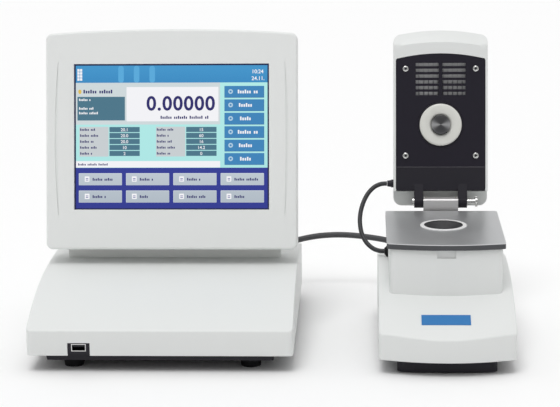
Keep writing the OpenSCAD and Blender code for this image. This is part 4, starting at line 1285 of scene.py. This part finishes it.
    def readings(self) -> None:
        """Builds the pale ground, the message box and the big reading."""
        cyan = self.lit("screen_cyan", (0.43, 0.81, 0.78), (0.40, 0.77, 0.76), self.lower_z,
                        self.header_z)
        self.tile("screen_main", [(self.left, self.lower_z, self.right, self.header_z)], 2, cyan,
                  0.2)
        self.tile("screen_upper_panel", [(self.left, 92.3, self.split_x, self.header_z)], 3,
                  self.lit("screen_grey", (0.60, 0.67, 0.69)), 0.4)
        self.words("screen_message_title", [(10, 126.2, 13)], 4.0, 4, self.ink(), 0.3)
        self.tile("screen_message_mark", [(4.4, 125.6, 7.8, 130.4)], 4,
                  self.lit("screen_amber", (0.72, 0.48, 0.08)), 1.7)
        self.tile("screen_message_box", [(3.4, 96.8, 55.2, 122.5)], 4, self.teal())
        self.words("screen_message_rows", [(5.2, 118, 8), (5.2, 108.6, 10), (5.2, 103.6, 13)],
                   2.6, 5, self.white())
        self.tile("screen_readout", [(57, 95.8, 157, 133)], 4, self.white())
        self.numerals("screen_reading", [("0.00000", 116, 107.9)], 21.6, 5, self.ink(), 0.5, 1.08)
        self.words("screen_reading_note", [(94, 98.4, 25)], 3.4, 5, self.ink(), 0.3)
        self.tile("screen_status", [(self.left, 45.7, self.split_x, 52.7)], 3, self.white())
        self.words("screen_status_row", [(4, 47.9, 22)], 2.4, 4, self.ink())

    def tables(self) -> None:
        """Builds the two tables of settings, from the lowest row up."""
        grey = self.lit("screen_table_grey", (0.56, 0.60, 0.62))
        rows = [58.2 + self.row_pitch * k for k in range(5)]
        tables = ((5.5, ("2", "10", "20.0", "20.0", "20.1"), (8, 11, 9, 12, 10)),
                  (89.1, ("0", "14.2", "16", "60", "15"), (9, 12, 10, 8, 11)))
        for side, (left, values, lengths) in enumerate(tables):
            self.tile(f"screen_names_box_{side}", [(left, 57.6, left + 31.8, 89.9)], 3, grey)
            self.tile(f"screen_values_{side}",
                      [(left + 32.8, z, left + 65.8, z + 5.6) for z in rows], 3, self.teal(), 0.2)
            self.words(f"screen_names_{side}",
                       [(left + 0.8, z + 1.5, count) for z, count in zip(rows, lengths)], 2.7, 4,
                       self.ink())
            self.numerals(f"screen_numbers_{side}",
                          [(text, left + 49.2, z + 1.0) for text, z in zip(values, rows)], 4.8, 4,
                          self.white(), 0.05)

    def side_buttons(self) -> None:
        """Builds the column of blue buttons with plain marks."""
        blue = self.lit("screen_button_blue", (0.036, 0.215, 0.47))
        rows = [48.9 + self.side_pitch * k for k in range(6)]
        self.tile("screen_side_edges", [(163.5, z - 0.5, 206.6, z + 12.3) for z in rows], 3,
                  self.lit("screen_button_shadow", (0.02, 0.12, 0.30)))
        self.tile("screen_side_buttons", [(163.7, z, 206.1, z + 12.3) for z in rows], 4, blue)
        self.tile("screen_side_dots", [(167.6, z + 3.6, 172.8, z + 8.8) for z in rows], 5,
                  self.lit("screen_button_mark", (0.42, 0.60, 0.74)), 2.6)
        self.tile("screen_side_eyes", [(169.1, z + 5.1, 171.3, z + 7.3) for z in rows], 6, blue,
                  1.1)
        self.words("screen_side_names",
                   [(180.4 - 1.2 * (k % 3), z + 4.2, 5 + 2 * (k % 3)) for k, z in enumerate(rows)],
                   4.0, 5, self.white(), 0.3)

    def lower_buttons(self) -> None:
        """Builds the two rows of pale buttons on the deep blue ground."""
        deep = self.lit("screen_deep", (0.021, 0.034, 0.28), (0.019, 0.030, 0.26), 1, 46)
        pale = self.lit("screen_button_pale", (0.50, 0.56, 0.62), (0.42, 0.48, 0.54), 8, 40)
        corners = [(x, z) for z in (7.7, 26.5) for x in (4.8, 56.3, 107.8, 159.3)]
        lengths = (8, 5, 11, 7, 12, 8, 8, 14)
        self.tile("screen_lower", [(self.left, 1.4, self.right, self.lower_z)], 2, deep, 0.2)
        self.tile("screen_pale_rims", [(x, z, x + 47, z + 13) for x, z in corners], 3,
                  self.lit("screen_button_rim", (0.68, 0.73, 0.78)), 0.5)
        self.tile("screen_pale_buttons",
                  [(x + 0.4, z + 0.2, x + 46.9, z + 12.5) for x, z in corners], 4, pale, 0.4)
        self.tile("screen_pale_icons",
                  [(x + 6.4, z + 3.8, x + 11.6, z + 9.6) for x, z in corners], 5, self.white(),
                  0.5)
        self.tile("screen_pale_icon_bars", [(x + 7.6, z + low, x + 10.4, z + low + 0.7)
                                            for x, z in corners for low in (5.2, 6.8)], 6, deep,
                  0.2)
        self.words("screen_pale_names",
                   [(x + 15, z + 4.9, count) for (x, z), count in zip(corners, lengths)], 3.0, 5,
                   self.ink())


@dataclass
class Lid:
    """The lid's moulded shell, the presser's face and the panel screws, in the lid's own frame.

    The lid's frame has its origin on the hinge axis. Its second axis runs to the lid's tip and its
    third axis runs to the lid's back. Lengths are millimetres.
    """

    open_angle: float = math.radians(102)
    half: float = 52.0
    tail: float = -4.5
    tip: float = 190.0
    crown: float = 6.0
    face: float = -3.0
    back: float = 36.0
    corner: float = 9.0
    rim: float = 0.7
    round_back: float = 11.0
    nose_rise: float = 9.0
    rows: int = 45
    nose_rows: int = 3
    sharp: float = 24.0
    wall: float = 3.0
    cavity_half: float = 49.5
    cavity_start: float = 12.4
    cavity_end: float = 158.0
    cavity_corner: float = 2.5
    cavity_round: float = 8.0
    slot_z: float = 12.0
    slot_end: float = 11.6
    vent_half: float = 20.0
    vent_l: float = 120.5
    vent_h: float = 2.6
    vent_pitch: float = 6.0
    vent_count: int = 6
    pad_half: float = 31.0
    pad_l: tuple[float, float] = (115.5, 153.5)
    pad_z: tuple[float, float] = (-1.6, -0.1)
    press_l: float = 85.0
    ring_r: float = 23.3
    ring_bore: float = 10.9
    ring_out: float = 3.0
    hole_r: float = 24.8
    disc_r: float = 10.5
    disc_out: float = 6.0
    stem_r: float = 4.0
    screw_x: float = 38.7
    screw_l: tuple[float, float] = (50.8, 147.0)
    seam_l: float = 38.0
    seam_w: float = 0.45

    def frame(self) -> Matrix:
        """Works out how the open lid lies on its hinge.

        Returns:
            The matrix from the lid's frame to the model's.
        """
        _, y, z = middle_of("hinge_pin")
        axis = Matrix.Translation((middle_of("lid_panel")[0], y, z))
        mirror = Matrix.Diagonal((1.0, -1.0, 1.0, 1.0))
        return axis @ Matrix.Rotation(-self.open_angle, 4, "X") @ mirror @ Matrix.Scale(MM, 4)

    def end(self, x: float) -> float:
        """Gives the crowned tip of the shell at a distance from the middle."""
        return self.tip - self.crown * (x / self.half) ** 2

    def cavity_tip(self, x: float) -> float:
        """Gives the crowned end of the cavity at a distance from the middle."""
        return self.cavity_end + self.crown * (1 - (x / self.cavity_half) ** 2)

    def inner(self, x: float, along: float) -> float:
        """Gives the height of the pressing side, which slopes back at the nose.

        Args:
            x: Distance from the middle.
            along: Distance from the hinge axis.

        Returns:
            The height, in the lid's frame upside down.
        """
        length = self.end(min(abs(x), self.half - self.corner)) - self.tail
        start = self.tail + length * (1 - self.nose_rows / self.rows)
        share = max(0.0, (along - start) / (length * self.nose_rows / self.rows))
        return -self.face - self.nose_rise * (0.8 * share + 0.2 * share ** 2)

    def shell(self, turned: Matrix) -> None:
        """Builds the shell with its cavity, hinge slot and vents.

        Args:
            turned: Matrix from the lid's frame upside down to the model's.
        """
        form = Block(self.half, lambda x: self.tail, self.end, self.inner, -self.back, self.corner,
                     self.rim, foot=self.round_back, rows=self.rows)
        item = make_piece("lid_housing", *form.mesh(), Body.LID, WHITE, place=turned,
                          angle=self.sharp)
        cavity = Block(self.cavity_half, lambda x: self.cavity_start, self.cavity_tip,
                       lambda x, y: 1 - self.face, self.wall - self.back, self.cavity_corner, 0.05,
                       foot=self.cavity_round, rows=8)
        slot = ((-self.half - 1, self.tail - 1, -self.slot_z),
                (self.half + 1, self.slot_end, 1 - self.face))
        starts = [self.vent_l + self.vent_pitch * k for k in range(self.vent_count)]
        vents = [((-self.vent_half, along, -self.back - 2),
                  (self.vent_half, along + self.vent_h, -self.back + 6)) for along in starts]
        cut_boxes(item, [slot, *vents], turned, form=cavity, angle=self.sharp)
        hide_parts("lid_shell")

    def presser(self, seat: Matrix) -> None:
        """Builds the presser's ring, its dark collar and its turned disc.

        Args:
            seat: Matrix from the presser's own frame, round its axis, to the model's.
        """
        facing = (0.0, math.sin(self.open_angle), math.cos(self.open_angle))
        middle = tuple(seat @ Vector((0, 0, self.face)))
        front, bore, r = self.face - self.ring_out, self.ring_bore, self.ring_r
        white = Turned("ring_white", (0.72, 0.72, 0.68), roughness=0.36, centre=middle,
                       axis=facing)
        ring = lathe("presser_face_ring", [
            (bore, 3.0), (bore, front + 1.9), (bore + 0.5, front + 1.3), (bore + 1.5, front + 0.3),
            (bore + 2.1, front), (r - 2.4, front), (r - 1.2, front + 0.25), (r - 0.4, front + 0.9),
            (r, front + 1.8), (r, 3.0)], [seat], Body.LID, white)
        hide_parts("presser_ring")
        near, far, z = r + 0.05, self.hole_r - 0.2, self.face
        lathe("presser_collar", [(near, z + 0.1), (near + 0.3, z), (far - 0.25, z),
                                 (far, z + 0.15), (far, 0.0), (near, 0.0)],
              [seat], Body.LID, PANEL)
        front, r = self.face - self.disc_out, self.disc_r
        # The disc's glint colour paints a bow-tie highlight across its face.
        steel = Turned("disc_steel", (0.10, 0.10, 0.105), roughness=0.34, metallic=0.9,
                       centre=middle, axis=facing, glint=(0.55, 0.55, 0.56))
        disc = lathe("presser_face_disc", [
            (0.0, front + 0.15), (0.8, front + 0.1), (1.2, front), (r - 0.7, front),
            (r - 0.2, front + 0.2), (r, front + 0.6), (r, front + 5.0), (self.stem_r, front + 5.0),
            (self.stem_r, 9.1), (0.0, 9.1)], [seat], Body.PRESSER, steel)
        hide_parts("presser_disc")

    def filter(self, turned: Matrix) -> None:
        """Builds the felt pad behind the vents.

        Args:
            turned: Matrix from the lid's frame upside down to the model's.
        """
        start, end = self.pad_l
        low, high = self.pad_z
        pad = Block(self.pad_half, lambda x: start, lambda x: end, lambda x, y: high, low, 2.0,
                    0.3, rows=8)
        make_piece("vent_filter", *pad.mesh(), Body.LID, FILTER, place=turned)

    def seam(self, place: Matrix) -> None:
        """Builds a grey strip between the panel and the hinge block, a painted highlight for the
        light on the block's top edge.

        Args:
            place: Matrix from the lid's frame to the model's.
        """
        side = self.cavity_half - 0.4
        near, far = self.seam_l, self.seam_l + self.seam_w
        strip = [(x, along, self.face + z) for x in (-side, side)
                 for along, z in ((near, 0.0), (far, -0.25), (far, 0.1), (near, 0.1))]
        make_piece("panel_seam_highlight", strip, [*ring_faces(2, 4), (3, 2, 1, 0), (4, 5, 6, 7)], Body.LID,
                   SEAM_HIGHLIGHT, place=place, angle=None)

    def screws(self, place: Matrix) -> None:
        """Builds the four panel screws, with a black disc of painted shade in each driven socket.

        Args:
            place: Matrix from the lid's frame to the model's.
        """
        places = [place @ Matrix.Translation((side * self.screw_x, along, self.face))
                  for side in (-1, 1) for along in self.screw_l]
        heads = lathe("panel_screw_heads", [
            (1.35, -1.0), (1.5, -1.55), (1.7, -1.7), (2.5, -1.65), (3.1, -1.35), (3.4, -0.8),
            (3.45, -0.05), (1.6, -0.05), (1.6, 6.0), (1.35, 6.0)], places, Body.LID, NICKEL,
            count=40)
        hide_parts("lid_screws")
        # Painted shade: a black disc down in each screw's bore stands in for the shade in its
        # socket.
        lathe("panel_screw_socket_shade", [(0.0, -0.95), (1.3, -1.0), (1.3, -0.5), (0.0, -0.5)],
              places, Body.LID, BLACK, count=24)

    def build(self) -> None:
        """Builds the lid's own pieces."""
        place = self.frame()
        turned = place @ Matrix.Diagonal((1.0, 1.0, -1.0, 1.0))
        self.shell(turned)
        self.presser(place @ Matrix.Translation((0, self.press_l, 0)))
        self.filter(turned)
        self.seam(place)
        self.screws(place)


PARTS = (Studio, Cables, Dressing, ConsoleBase, Screen, HeadBase, Lid)


def main() -> None:
    """Builds every sub-assembly in order and reports each one."""
    logging.basicConfig(level=logging.INFO, format="%(name)s: %(message)s")
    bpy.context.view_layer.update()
    for make in (grain_group, brushed_group, turned_group):
        make()
    for part in PARTS:
        part().build()
        LOG.info("built %s", part.__name__)


if __name__ == "__main__":
    main()
